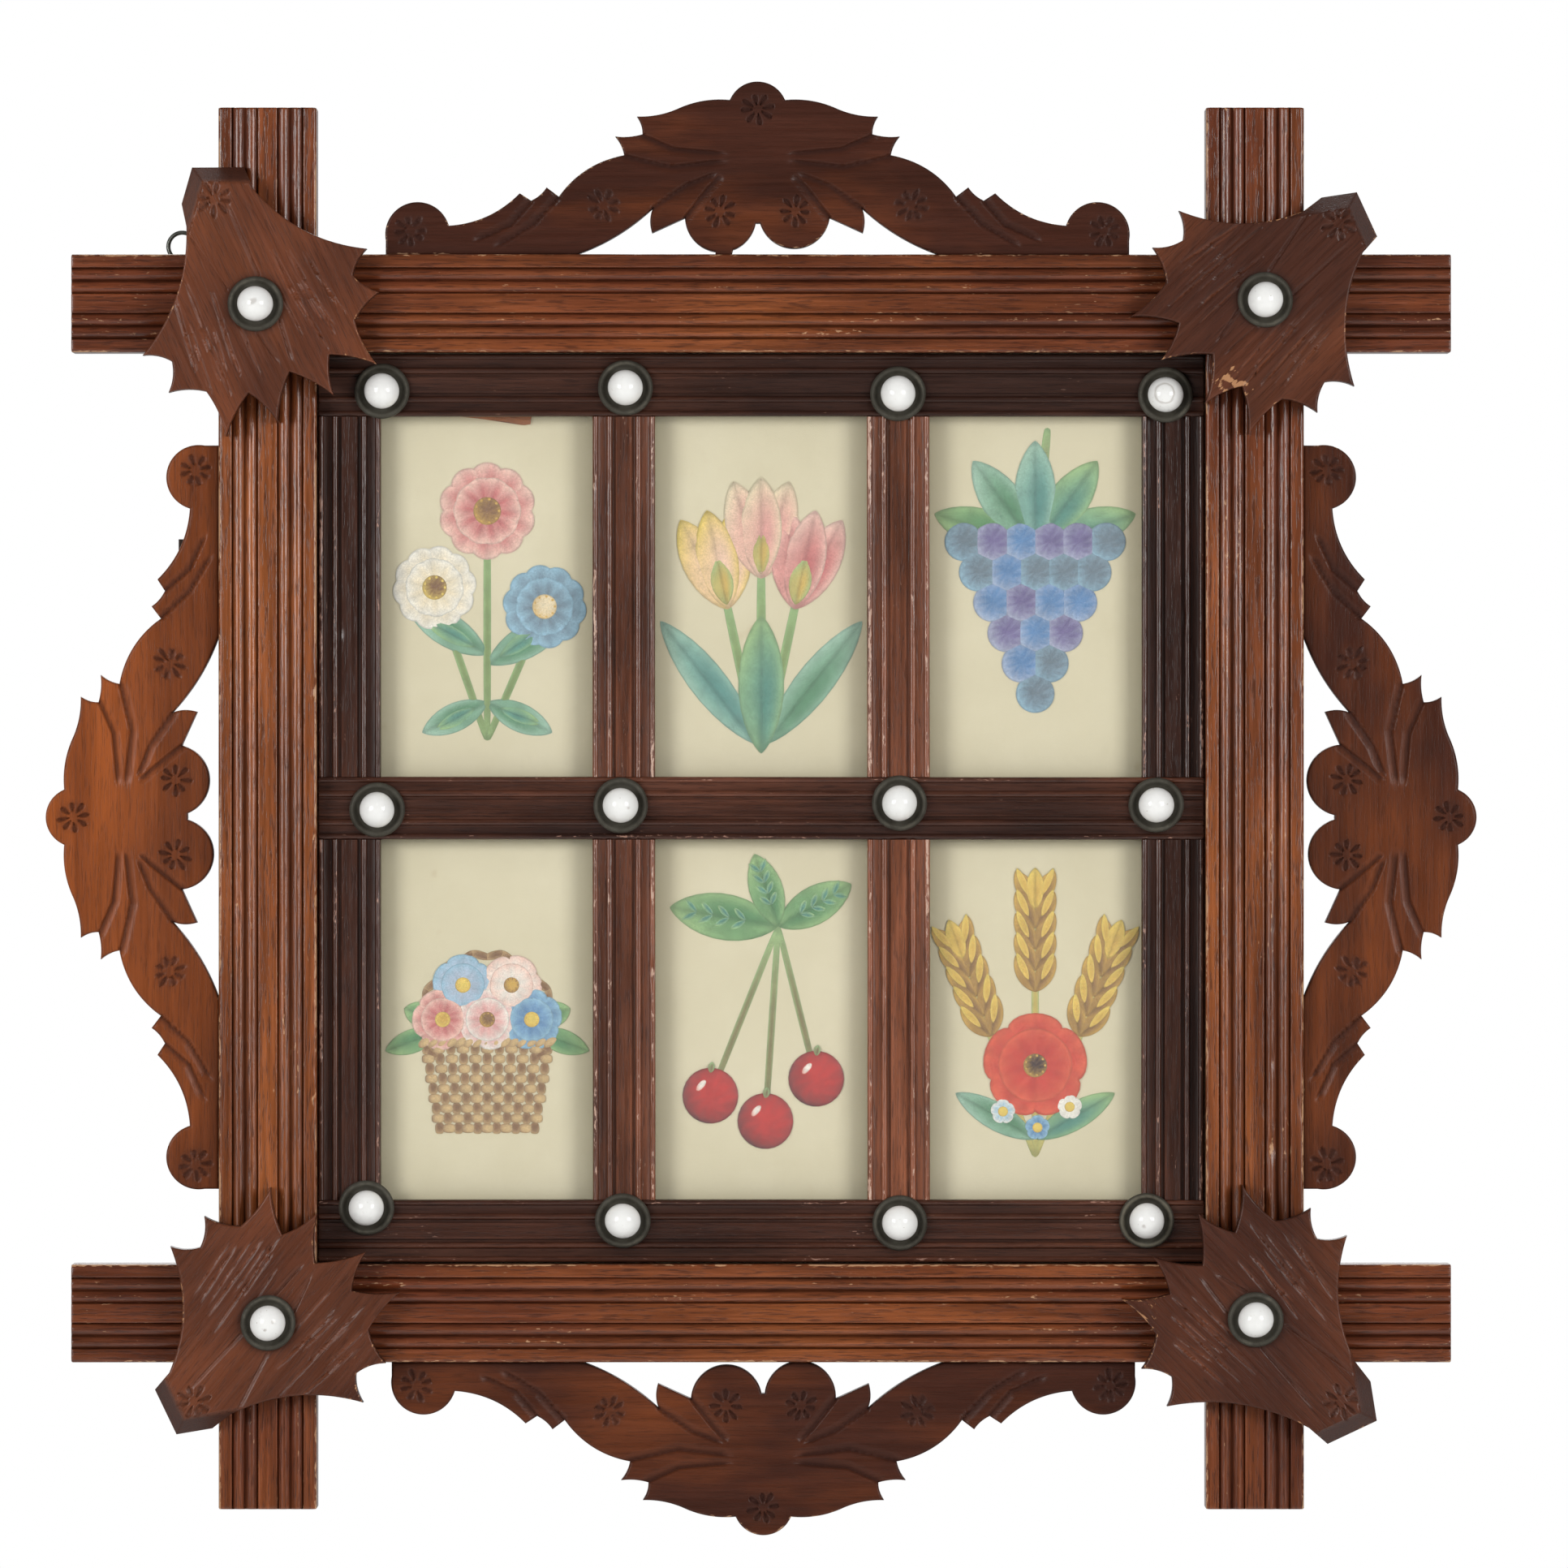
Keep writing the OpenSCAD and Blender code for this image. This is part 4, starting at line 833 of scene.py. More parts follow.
def carvedBoard(name, board, material, carve, place, fronts, edge, backs):
    # each grid of flat places gets its carved front; a wall drops from the outline to the flat back
    low, high = nodeSpan(board["node"])
    front, back, seed = low[1], high[1], board["seed"]
    down = np.array([0, 0.05, 0.2, 0.5, 0.8, 1.0])[:, None]
    points, faces, grain, looks = [], [], [], []

    def put(flat, closed, y, *look):
        # adds one grid of points with its faces and its looks
        x, z = place(flat[..., 0], flat[..., 1])
        faces.append(gridFaces(*y.shape, closed, sum(len(grid) for grid in points)))
        points.append(np.stack([x, y, z], axis=-1).reshape(-1, 3))
        along, across = flat[..., 0] * mm + seed * 0.31, flat[..., 1] * mm + seed * 0.17
        grain.append(np.stack([along, across, y * mm], axis=-1).reshape(-1, 3))
        looks.append(np.stack([np.broadcast_to(values, y.shape).ravel() for values in look]))

    def carved(flat):
        found = carve(flat[..., 0].ravel(), flat[..., 1].ravel())
        return [values.reshape(flat.shape[:-1]) for values in found]

    for flat, closed in fronts:
        depth, tone, wear, grimeAndShade = carved(flat)
        put(flat, closed, front + depth, tone, wear, grimeAndShade)
    depth, tone, wear, grimeAndShade = carved(edge)
    put(np.repeat(edge[None], len(down), axis=0), True, (front + depth) * (1 - down) + back * down,
        tone, 0.45 * np.clip(wear, 0, None) * (1 - smooth(0, 0.3, down)), 0.3 + 0.45 * down)
    for flat, closed in backs:
        put(flat, closed, np.full(flat.shape[:-1], float(back)), 0.2, 0.0, 0.45)
    makePiece(name, np.concatenate(points), np.concatenate(faces).tolist(), material,
              [board["node"]], woodLooks(np.concatenate(grain), *np.concatenate(looks, axis=1)), crease=42)


# Corner leaves: the outline with its stem towards -x, cut by veins, gouges and long parallel strokes

leafShape = {"teeth": [91, 70, 38, 15, -15, -38, -70, -91],
             "reach": [33.6, 33.6, 36.6, 32.6, 32.6, 36.6, 33.6, 33.6],
             "notches": [81, 55, 30, 1, -30, -55, -81],
             "notchReach": [27.5, 27.2, 24.2, 20.5, 24.2, 27.2, 27.5],
             "flame": -0.7, "waist": -3.5, "bevelWide": 4.4, "bevelDeep": 6.8, "bevelFrom": -20,
             "stem": [[-27, -7.9], [-33.3, -6.5], [-41, 0.3], [-35, 13], [-28.5, 12.8]],
             "veins": [[-7, -5, -30, -9.5, 1, 0], [-7, 4.2, -30, 5.2, 1, 0], [7, -3.4, 18, -0.8, 1, 0],
                       [7, 3.4, 19, 2.4, 1, 0]],
             "gouges": [[12, -11.8, -7.6, -9], [19.4, -16.8, -13, -14.4], [9, -22.5, -10.7, -18.9],
                        [19.4, 12.4, -10.8, 10.2], [16.2, 15.8, -8.8, 14.3], [10.5, 20, -6.9, 18.2]],
             "veinCut": (0.5, 0.45, 1.0), "gougeCut": (0.55, 0.45, 0.9), "strokeCut": (0.32, 0.4, 0.6),
             "strokes": 10, "star": [-30.5, 2.2], "starRadius": 4.6, "starDeep": 0.75,
             "step": 0.34, "rows": 66, "inset": [1.1, 0.75, 0.5, 0.32, 0.18, 0.08, 0.0]}
leaves = {
    "leafTopLeft": {"node": "leaf_top_left", "corner": (-1, 1), "offset": (-3, -0.4), "angle": 115.5,
                    "turn": 0, "scale": 1.0, "seed": 5, "tone": 0.7, "patch": (-10, -26, 9),
                    "patchWear": 0.25},
    "leafTopRight": {"node": "leaf_top_right", "corner": (1, 1), "offset": (2.6, 0.7), "angle": 45, "turn": 5,
                     "scale": 0.94, "seed": 6, "tone": 0.15, "patch": (21.5, 10.2, 7), "patchWear": 1.0},
    "leafBottomLeft": {"node": "leaf_bottom_left", "corner": (-1, -1), "offset": (0.4, -2.3), "angle": 231,
                       "turn": 0, "scale": 0.96, "seed": 7, "tone": 0.43, "patch": (6, -20, 10),
                       "patchWear": 0.2},
    "leafBottomRight": {"node": "leaf_bottom_right", "corner": (1, -1), "offset": (0, -1.4), "angle": 313.5,
                        "turn": 7, "scale": 1.05, "seed": 9, "tone": 0.18, "patch": (20, 20, 6),
                        "patchWear": 0.4},
}


def leafSeat(leaf):
    # where a stile's and a rail's middle lines cross, moved by the leaf's own offset
    return (leaf["corner"][0] * stileGap / 2 + leaf["offset"][0],
            midZ + leaf["corner"][1] * railGap / 2 + leaf["offset"][1])


def leafCorners(stem):
    # teeth and notches in turn, then the stem's facets; they run clockwise, so a negative sag is hollow
    angles, reach = np.zeros(15), np.zeros(15)
    angles[::2], angles[1::2] = leafShape["teeth"], leafShape["notches"]
    reach[::2], reach[1::2] = leafShape["reach"], leafShape["notchReach"]
    sags = [leafShape["flame"]] * 14 + [leafShape["waist"], 0, 0, 0, 0, leafShape["waist"]]
    toothed = np.column_stack([reach * np.cos(np.radians(angles)), reach * np.sin(np.radians(angles))])
    return np.column_stack([np.concatenate([toothed, stem]), sags])


def leafStrokes(rng):
    # long strokes between the gouges, alternately on either side of the axis
    count = leafShape["strokes"]
    side = np.where(np.arange(count) % 2, 1, -1)
    z = side * (7.5 + 3.4 * (np.arange(count) // 2)) + rng.normal(0, 0.5, count)
    x = 17 - 0.25 * np.abs(z) + rng.normal(0, 2, count)
    long = rng.uniform(11, 21, count)
    return np.column_stack([x, z, x - long, z * 0.9 + rng.normal(0, 0.4, count), 0 * x + 0.4, 0 * x + 0.4])


def carveLeaf(leaf, edge, stem):
    # depth is the rounded edge or the stem's bevel, whichever is deeper, plus the deepest cut and a ripple
    seed = leaf["seed"]
    rng = np.random.default_rng(seed)
    wander = rng.normal(0, 0.25, (10, 4))
    veins = np.array(leafShape["veins"]) + np.pad(wander[:4], ((0, 0), (0, 2)))
    gouges = np.pad(np.array(leafShape["gouges"]) + wander[4:], ((0, 0), (0, 2)), constant_values=0.4)
    strokes = leafStrokes(rng)
    star = turned([leafShape["star"]], leaf["turn"], leaf["scale"])[0]
    patchX, patchZ, patchR = leaf["patch"]

    def carve(x, z):
        fromMiddle = np.hypot(x, z)
        reach = np.full(x.shape, 9.0)
        near = fromMiddle > 15
        reach[near] = edgeReach(x[near], z[near], edge)
        depth = arrisDepth(reach, 0.55 + 0.2 * ripple(seed, 9, x, z))
        bevel = np.zeros(x.shape)
        for (ax, az), (bx, bz) in ((stem[1], stem[2]), (stem[2], stem[3])):
            inside = ((x - ax) * (bz - az) - (z - az) * (bx - ax)) / math.hypot(bx - ax, bz - az)
            fall = leafShape["bevelDeep"] / leafShape["bevelWide"] * (leafShape["bevelWide"] - inside)
            bevel = np.maximum(bevel, np.where(x < leafShape["bevelFrom"], fall, 0))
        bevel = np.minimum(bevel, leafShape["bevelDeep"])
        onBevel = smooth(0.3, 2, bevel)
        vein = veinDepth(x, z, veins, *leafShape["veinCut"])
        gouge = veinDepth(x, z, gouges, *leafShape["gougeCut"])
        fine = veinDepth(x, z, strokes, *leafShape["strokeCut"])
        chips = starDepth(x, z, star, leafShape["starRadius"], leafShape["starDeep"], 0.2, seed)
        cut = np.maximum.reduce([vein, gouge, fine, chips]) * smooth(0.6, 0.1, bevel)
        depth = np.maximum(depth, bevel) + cut + 0.07 * ripple(seed + 1, 6, x, z) * smooth(0, 1, reach)
        patch = 0.5 + 0.5 * ripple(seed + 2, 7, x, z)
        flaked = smooth(0.3, 0.6, 0.5 + 0.5 * ripple(seed + 6, 0.9, x, z))
        bare = smooth(patchR, 0.3 * patchR, np.hypot(x - patchX, z - patchZ)) * leaf["patchWear"] * flaked
        wear = 0.55 * smooth(0.9, 0.1, reach) * smooth(0.4, 0.85, patch) + bare
        wear = wear + 0.2 * smooth(0.06, 0.22, fine) * patch + 0.2 * smooth(0.15, 0.4, gouge) * patch
        # painted shade in a ring round the foot of the tack's cup, and a little darkening in the cuts
        grimeAndShade = np.clip(0.12 * smooth(0.2, 0.6, cut) + 0.5 * smooth(10, 6.5, fromMiddle), 0, 1)
        grimeAndShade = grimeAndShade + 0.3 * smooth(0.1, 0.5, chips) + 0.25 * onBevel * (0.7 + 0.3 * patch)
        tone = leaf["tone"] + 0.44 * ripple(seed + 3, 11, x, z * 1.6)
        tone = tone + 0.45 * smooth(0.06, 0.22, fine) + 0.55 * smooth(0.12, 0.4, gouge) - 0.7 * onBevel
        return depth, tone, wear, grimeAndShade

    return carve


def makeLeaf(name, leaf):
    # rings of points run from the tack's place out to the toothed outline
    stem = turned(leafShape["stem"], leaf["turn"], leaf["scale"])
    edge = traceEdge(leafCorners(stem), leafShape["step"])
    pole = np.zeros(2)
    fan = fanGrid(edge, pole, leafShape["rows"], leafShape["inset"])
    place = placer(*leafSeat(leaf), leaf["angle"] - 180)
    carvedBoard(name, leaf, leafWood, carveLeaf(leaf, edge, stem), place, [(fan, True)], edge,
                [(backFan(edge, pole), True)])


for name, leaf in leaves.items():
    makeLeaf(name, leaf)
print("leaves done")


# Fretted crests: a fan of points round the middle, and an arm on each side ruled between its two edges

crestShape = {"pole": (0, 24), "lobe": (10, 9.7), "lobeFrom": 8.55, "lobeTo": 9.98, "notch": 8.5,
              "ball": (0, 38.9, 8.1), "volute": (92.2, 5.5, 8.8),
              "upper": [[36.2, 27, 0.4], [38.6, 32.1, 0.4], [31.2, 32.7, 0.4], [32.7, 37.5, 0.6],
                        [21.9, 39.5, -1], [7.55, 42, 0]],
              "spur": [[19.66, 9.97, 0], [28.6, 5.9, -0.6], [28.4, 12.6, 0]],
              "armLow": [[28.4, 12.6, -1.3, 0], [49.2, 0, 0, 0.35], [92.2, 0, 0, 0.85], [100.85, 0, 0, 0.94]],
              "lowArc": [[-10.6, 0.97], [-5.3, 0.985], [0, 1]],
              "armHigh": [[36.2, 27, 2.1, 0], [53.9, 15.8, 0, 0.27], [57.2, 18.3, -0.4, 0.34],
                          [61.4, 14.7, 0, 0.42], [64.5, 16.7, -2, 0.5]],
              "highArc": [[164.2, 0.8], [140, 0.834], [115, 0.867], [90, 0.9], [67, 0.926], [45, 0.95],
                          [22, 0.975], [0, 1]],
              "knots": [0, 0.27, 0.34, 0.35, 0.42, 0.5, 0.8, 0.85, 0.94, 0.97, 1],
              "veins": [[[31, 32.4], [22.8, 28.8], [7.3, 27.4]], [[35.8, 26.8], [23.3, 23.9], [7.3, 25.8]],
                        [[28.3, 12.8], [19.4, 19], [10.6, 22.4]], [[19.6, 10.2], [13.6, 17.8], [9.9, 22]],
                        [[61.4, 14.5], [67, 8], [77.5, 3.2]], [[54, 15.6], [61, 8.1], [72, 1.4]]],
              "veinCut": (0.95, 0.65, 2.1), "starDeep": 0.8,
              "stars": [[94.2, 6.4, 4.3], [41.8, 13.4, 4.2], [10.2, 11.8, 4.2], [0, 39.5, 4.2]],
              "step": 0.45, "rows": 56, "columns": 210, "inset": [1.1, 0.75, 0.5, 0.3, 0.14, 0.05, 0.0]}
crests = {
    "crestTop": {"node": "crest_top", "seat": (-1, 1), "turn": 0, "seed": 31, "tone": -0.1, "rise": 0.0,
                 "clear": (1.7, 0.7), "foot": (6.6, 11.4)},
    "crestBottom": {"node": "crest_bottom", "seat": (0.6, -1), "turn": 180, "seed": 32, "tone": 0.1,
                    "rise": 0.05, "clear": (0.85, -0.15), "foot": None},
    "crestLeft": {"node": "crest_left", "seat": (-1, -2.4), "turn": 90, "seed": 33, "tone": 0.55, "rise": 0.4,
                  "clear": (2.6, 1.5), "foot": None},
    "crestRight": {"node": "crest_right", "seat": (1, -2.4), "turn": -90, "seed": 34, "tone": 0.2,
                   "rise": 0.12, "clear": (1.4, 1.0), "foot": None},
}


def crestSeat(crest):
    # a crest stands against its bar's outer edge, and is moved along that edge by a few millimetres
    first, second = crest["seat"]
    if crest["turn"] in (0, 180):
        return first, midZ + second * (railGap + barWidth) / 2
    return first * (stileGap + barWidth) / 2, midZ + second


def pathAt(t, corners):
    # corners [x, z, sag, t]: the place at t on the line or arc that leaves its chord by sag to the left
    corners = np.asarray(corners, float)
    k = np.clip(np.searchsorted(corners[:, 3], t, "right") - 1, 0, len(corners) - 2)
    a, b = corners[k], corners[k + 1]
    s = (t - a[:, 3]) / (b[:, 3] - a[:, 3])
    dx, dz = b[:, 0] - a[:, 0], b[:, 1] - a[:, 1]
    lift = 4 * s * (1 - s) * a[:, 2] / np.hypot(dx, dz)
    return np.column_stack([a[:, 0] + s * dx - lift * dz, a[:, 1] + s * dz + lift * dx])


def voluteCorners(steps):
    # steps [angle, t] round the volute, as corners for pathAt
    cx, cz, r = crestShape["volute"]
    angles, knots = np.array(steps, float).T
    a = np.radians(angles)
    bulge = -np.sign(angles[-1] - angles[0]) * r * (1 - np.cos(np.diff(a, append=a[-1]) / 2))
    return np.column_stack([cx + r * np.cos(a), cz + r * np.sin(a), bulge, knots]).tolist()


def crestArm():
    # rows of points from the arm's lower edge to its upper edge, closer together beside both
    t = np.unique(np.concatenate([np.linspace(0, 1, crestShape["columns"]), crestShape["knots"]]))
    v = np.concatenate([[0, 0.006, 0.018, 0.04], np.linspace(0.07, 0.93, 24), [0.96, 0.982, 0.994, 1]])
    low = pathAt(t, crestShape["armLow"] + voluteCorners(crestShape["lowArc"]))
    high = pathAt(t, crestShape["armHigh"] + voluteCorners(crestShape["highArc"]))
    return low + v[:, None, None] * (high - low)


def lobePath(clear, foot):
    # from the middle notch round a lobe to its spur; a lobe may be cut flat on the bar or stand on a foot
    cx, r = crestShape["lobe"]
    cz = r + clear
    start = 180 + math.degrees(math.asin((cz - crestShape["lobeFrom"]) / r))
    end = 360 - math.degrees(math.asin((cz - crestShape["lobeTo"]) / r))
    arc = arcPoints(cx, cz, r, start, end, 60)
    arc[:, 1] = np.maximum(arc[:, 1], 0)
    if foot:
        before = arc[arc[:, 0] < foot[0]]
        after = arc[arc[:, 0] > foot[1]]
        sole = [[foot[0], before[-1, 1]], [foot[0] + 0.4, 0], [foot[1], 0], [foot[1], after[0, 1]]]
        arc = np.concatenate([before, traceEdge(np.pad(sole, ((0, 0), (0, 1))), 0.3, False), after])
    spur = traceEdge(crestShape["spur"], crestShape["step"], False)
    return np.concatenate([[[0, crestShape["notch"]]], arc, spur[1:]])


def carveCrest(crest, edge):
    # depth is the rounded edge, plus the deeper of veins and stars, plus a ripple; veins mirror about x = 0
    seed = crest["seed"]
    veins = [line for a, b, c in crestShape["veins"] for line in ([*a, *b, 1, 1], [*b, *c, 1, 0])]
    deep = crestShape["starDeep"]

    def carve(x, z):
        reach = edgeReach(x, z, edge)
        cut = veinDepth(np.abs(x), z, veins, *crestShape["veinCut"])
        chips = np.zeros(x.shape)
        for k, (sx, sz, r) in enumerate(crestShape["stars"]):
            chips = np.maximum(chips, starDepth(x, z, (sx, sz), r, deep, 0.3 + k, seed + k))
            if sx > 0:
                chips = np.maximum(chips, starDepth(x, z, (-sx, sz), r, deep, 0.9 + k, seed + 9 + k))
        nearStar = np.minimum.reduce([np.hypot(np.abs(x) - sx, z - sz) for sx, sz, r in crestShape["stars"]])
        patch = 0.5 + 0.5 * ripple(seed + 2, 8, x, z)
        depth = arrisDepth(reach, 0.6 + 0.2 * ripple(seed, 8, x, z))
        depth = depth + np.maximum(cut, chips) + 0.08 * ripple(seed + 1, 7, x, z)
        wear = 0.55 * smooth(0.9, 0.1, reach) * smooth(0.55, 0.9, patch)
        # dirt and painted shade in the veins and stars, darker round the stars, painted shadow of the bar
        # along the crest's foot, and dark along edges that are not worn
        grimeAndShade = 0.7 * smooth(0.25, 0.8, cut) + 0.6 * smooth(0.05, 0.4, chips)
        grimeAndShade = grimeAndShade + 0.2 * smooth(5.4, 3.6, nearStar)
        grimeAndShade = grimeAndShade + 0.3 * smooth(4, 0, z) + 0.5 * smooth(0.8, 0.1, reach) * (1 - patch)
        tone = crest["tone"] + crest["rise"] * smooth(4, 34, z) + 0.2 * ripple(seed + 3, 16, x * 0.5, z * 1.4)
        return depth, tone, wear, grimeAndShade

    return carve


def makeCrest(name, crest):
    arm = crestArm()
    upper = np.concatenate([traceEdge(crestShape["upper"], crestShape["step"], False),
                            arcPoints(*crestShape["ball"], 22.5, 90, 26)[1:]])
    rightLobe = lobePath(crest["clear"][0], None)
    leftLobe = mirrored(lobePath(crest["clear"][1], crest["foot"]))[::-1]
    # both loops run over the top from right to left and back along the lobes; the fan's cuts the arms off
    top = np.concatenate([upper[:-1], mirrored(upper)[::-1][:-1]])
    bottom = np.concatenate([leftLobe[:-1], rightLobe])[:-1]
    chord = arm[:, 0]
    loop = np.concatenate([chord[:-1], top, mirrored(chord)[::-1][:-1], bottom])
    edge = np.concatenate([arm[0, :-1], arm[-1, ::-1][:-1], top, mirrored(arm[-1])[:-1],
                           mirrored(arm[0, ::-1])[:-1], bottom])
    pole = np.array(crestShape["pole"], float)
    arms = [(arm, False), (mirrored(arm), False)]
    fan = fanGrid(loop, pole, crestShape["rows"], crestShape["inset"])
    carvedBoard(name, crest, crestWood, carveCrest(crest, edge),
                placer(*crestSeat(crest), crest["turn"]), [(fan, True)] + arms, edge,
                [(backFan(loop, pole), True)] + arms)


for name, crest in crests.items():
    makeCrest(name, crest)
print("crests done")


# Porcelain heads and bronze cups: a profile turned about each tack, every one a little out of true

latticeOffsets = [[[8.8, -1.6], [0.4, -0.7], [-0.1, -2.3], [-2, -2.6]],
                  [[7.5, -0.4], [-0.9, 0.8], [0.3, 1.4], [-4.5, 0.9]],
                  [[4.6, 6.4], [-0.3, 2.9], [0.4, 2.3], [-7.1, 2.9]]]
latticeTacks = np.array([[uprightX[i] + dx, midZ + crossbarZ[j] + dz]
                         for j, row in enumerate(latticeOffsets) for i, (dx, dz) in enumerate(row)])
cornerTacks = np.array([leafSeat(leaf) for leaf in leaves.values()])
headShape = {"radius": 4.8, "seat": 0.6, "rise": 2.9, "turns": 56, "wobble": 0.018}
cupShape = {"profile": [[0, 0.6], [4.7, 0.6], [5.3, 0.72], [5.75, 1.05], [6.1, 1.5], [6.45, 1.76],
                        [6.8, 1.74], [7.15, 1.5], [7.4, 1.1], [7.5, 0.7], [7.46, 0.25], [7.35, 0.0],
                        [0, 0.0]],
            "turns": 72, "wobble": 0.012}
# stains [head, x, z, radius, strength]; a crack [head, x, z, radius] runs in a ring
heads = {"cornerHeads": {"node": "corner_heads", "tacks": cornerTacks, "front": leafFront, "seed": 51,
                         "stains": [[0, -0.45, 0.45, 1.5, 0.35], [2, -0.75, -1.8, 0.5, 0.5],
                                    [2, 1.35, 0.6, 0.5, 0.4]], "cracks": []},
         "latticeHeads": {"node": "lattice_heads", "tacks": latticeTacks, "front": latticeFront, "seed": 52,
                          "stains": [[11, -0.9, -1.2, 0.8, 0.5], [5, 2.1, -0.9, 0.5, 0.4],
                                     [8, 0.45, 1.65, 0.4, 0.4]], "cracks": [[3, -0.4, 0.3, 2.6]]}}
cups = {"cornerCups": {"node": "corner_cups", "tacks": cornerTacks, "front": leafFront, "seed": 53,
                       "rubbed": []},
        "latticeCups": {"node": "lattice_cups", "tacks": latticeTacks, "front": latticeFront, "seed": 54,
                        "rubbed": [11]}}


def revolve(radius, height, shape, group):
    # every profile point goes round its tack; each copy is a little oval and a little tilted
    rng = np.random.default_rng(group["seed"])
    centres, wobble = group["tacks"], shape["wobble"]
    count = len(centres)
    angle = np.linspace(0, 2 * math.pi, shape["turns"], endpoint=False)
    phase = rng.uniform(0, 2 * math.pi, (count, 1, 1))
    oval = 1 + wobble * rng.uniform(0.4, 1, (count, 1, 1)) * np.cos(2 * angle - phase)
    lean = rng.normal(0, wobble * 0.6, (2, count, 1, 1))
    r = radius[None, :, None] * oval
    x = r * np.cos(angle)
    z = r * np.sin(angle)
    tilt = (lean[0] * x + lean[1] * z) * smooth(0, 1, height)[None, :, None]
    y = group["front"] - height[None, :, None] - tilt
    points = np.stack([x + centres[:, 0, None, None], y, z + centres[:, 1, None, None]], axis=-1)
    return points, x, z


def makeHeads(name, group):
    # the profile is an arc of a circle from the crown down to a flat seat
    r, rise, seat, seed = headShape["radius"], headShape["rise"], headShape["seat"], group["seed"]
    lowest = math.degrees(math.acos(-rise / r))
    fall = np.radians(np.concatenate([[0], np.linspace(4, lowest, 30)]))
    height = np.append(seat + rise + r * np.cos(fall), seat)
    points, x, z = revolve(np.append(r * np.sin(fall), 0), height, headShape, group)
    stain = np.zeros(x.shape)
    for head, sx, sz, radius, strength in group["stains"]:
        spot = np.hypot(x[head] - sx, z[head] - sz) + 0.5 * ripple(seed, 0.6, x[head], z[head])
        stain[head] = np.maximum(stain[head], strength * smooth(radius, 0.3 * radius, spot))
    for head, sx, sz, radius in group["cracks"]:
        off = np.hypot(x[head] - sx, z[head] - sz) - radius + 0.15 * ripple(seed + 1, 0.8, x[head], z[head])
        stain[head] = np.maximum(stain[head], 0.45 * smooth(0.35, 0.05, np.abs(off)))
    stain = np.maximum(stain, 0.5 * smooth(1.8, 0.9, height)[None, :, None])
    makePiece(name, points, copyFaces(points), porcelain, [group["node"]],
              {"stain": stain.ravel()}, crease=60)


def makeCups(name, group):
    # the listed profile goes round each tack, and its rim is rubbed
    radius, height = np.array(cupShape["profile"]).T
    points = revolve(radius, height, cupShape, group)[0]
    rim = smooth(1.2, 1.75, height)[None, :, None]
    wear = rim * (0.3 + 0.2 * ripple(group["seed"], 3, points[..., 0], points[..., 2]))
    for cup in group["rubbed"]:
        wear[cup] = np.maximum(wear[cup], 0.9 * rim[0])
    makePiece(name, points, copyFaces(points), bronze, [group["node"]], {"wear": wear.ravel()},
              crease=50)


for name, group in heads.items():
    makeHeads(name, group)
for name, group in cups.items():
    makeCups(name, group)
print("tacks done")


# Hanging rings: a circle of wire carried round a circle, thinned where it has worn in the eye

ringShape = {"around": 96, "across": 18, "thinned": 0.05, "uneven": 0.012, "seed": 61}


def makeRing(name, node):
    # an angle round the ring and one round the wire give each point
    low, high = nodeSpan(node)
    wire = (high[1] - low[1]) / 2
    mean = (high[0] - low[0]) / 2 - wire
    middle = (low + high) / 2
    a = np.linspace(0, 2 * math.pi, ringShape["around"], endpoint=False)[:, None]
    b = np.linspace(0, 2 * math.pi, ringShape["across"], endpoint=False)[None, :]
    worn = smooth(0.6, 0.0, np.abs(a - 1.5 * math.pi))
    uneven = 1 + ringShape["uneven"] * ripple(ringShape["seed"], 0.7, a, 0 * a)
    thick = wire * (1 - ringShape["thinned"] * worn) * uneven
    reach = mean + thick * np.cos(b)
    points = np.stack([middle[0] + reach * np.cos(a), middle[1] + thick * np.sin(b),
                       middle[2] + reach * np.sin(a)], axis=-1)
    points = np.concatenate([points, points[:1]])
    wear = np.concatenate([worn, worn[:1]]) + 0 * b
    makePiece(name, points, gridFaces(*points.shape[:2], True).tolist(), ringSteel, [node],
              {"wear": wear.ravel()}, body=node, crease=60)


makeRing("leftRing", "left_ring")
makeRing("rightRing", "right_ring")


# Slipped strip: a thin section carried along a split, with ragged lower and upper edges

stripShape = {"length": 25, "height": 6, "below": 0.7, "tilt": -8.5, "shift": -0.6, "rows": 90, "columns": 9}


def makeStrip():
    low, high = nodeSpan("slipped_strip")
    t = np.linspace(-0.5, 0.5, stripShape["rows"])
    s = np.linspace(0, 1, stripShape["columns"])
    along = stripShape["length"] * t
    bottom = -stripShape["below"] + 0.35 * ripple(71, 2.2, along) + 0.5 * smooth(0.42, 0.5, np.abs(t))
    top = stripShape["height"] - stripShape["below"] + 0.3 * ripple(72, 3, along)
    front = low[1] + 0.1 * ripple(73, 5, along)[:, None] + 0.12 * (2 * s - 1) ** 4
    height = bottom[:, None] + (top - bottom)[:, None] * s
    # each section goes up the front and down the flat back
    u = np.repeat(along[:, None], 2 * len(s), axis=1)
    h = np.concatenate([height, height[:, ::-1]], axis=1)
    y = np.concatenate([front, np.full(front.shape, high[1])], axis=1)
    place = placer((uprightX[0] + uprightX[1]) / 2 + stripShape["shift"],
                   midZ + crossbarZ[0] - latticeWidth / 2, stripShape["tilt"])
    x, z = place(u, h)
    grain = np.stack([u * mm, h * mm + 0.4, y * mm], axis=-1)
    blank = np.zeros(u.shape)
    makePiece("slippedStrip", np.stack([x, y, z], axis=-1), tubeFaces(*u.shape), stripWood,
              ["slipped_strip"], woodLooks(grain, 0.6 + blank, 0.15 + blank, blank))


makeStrip()
print("rings and strip done")


# Paper scraps: many small embossed patches of printed paper, laid over each other

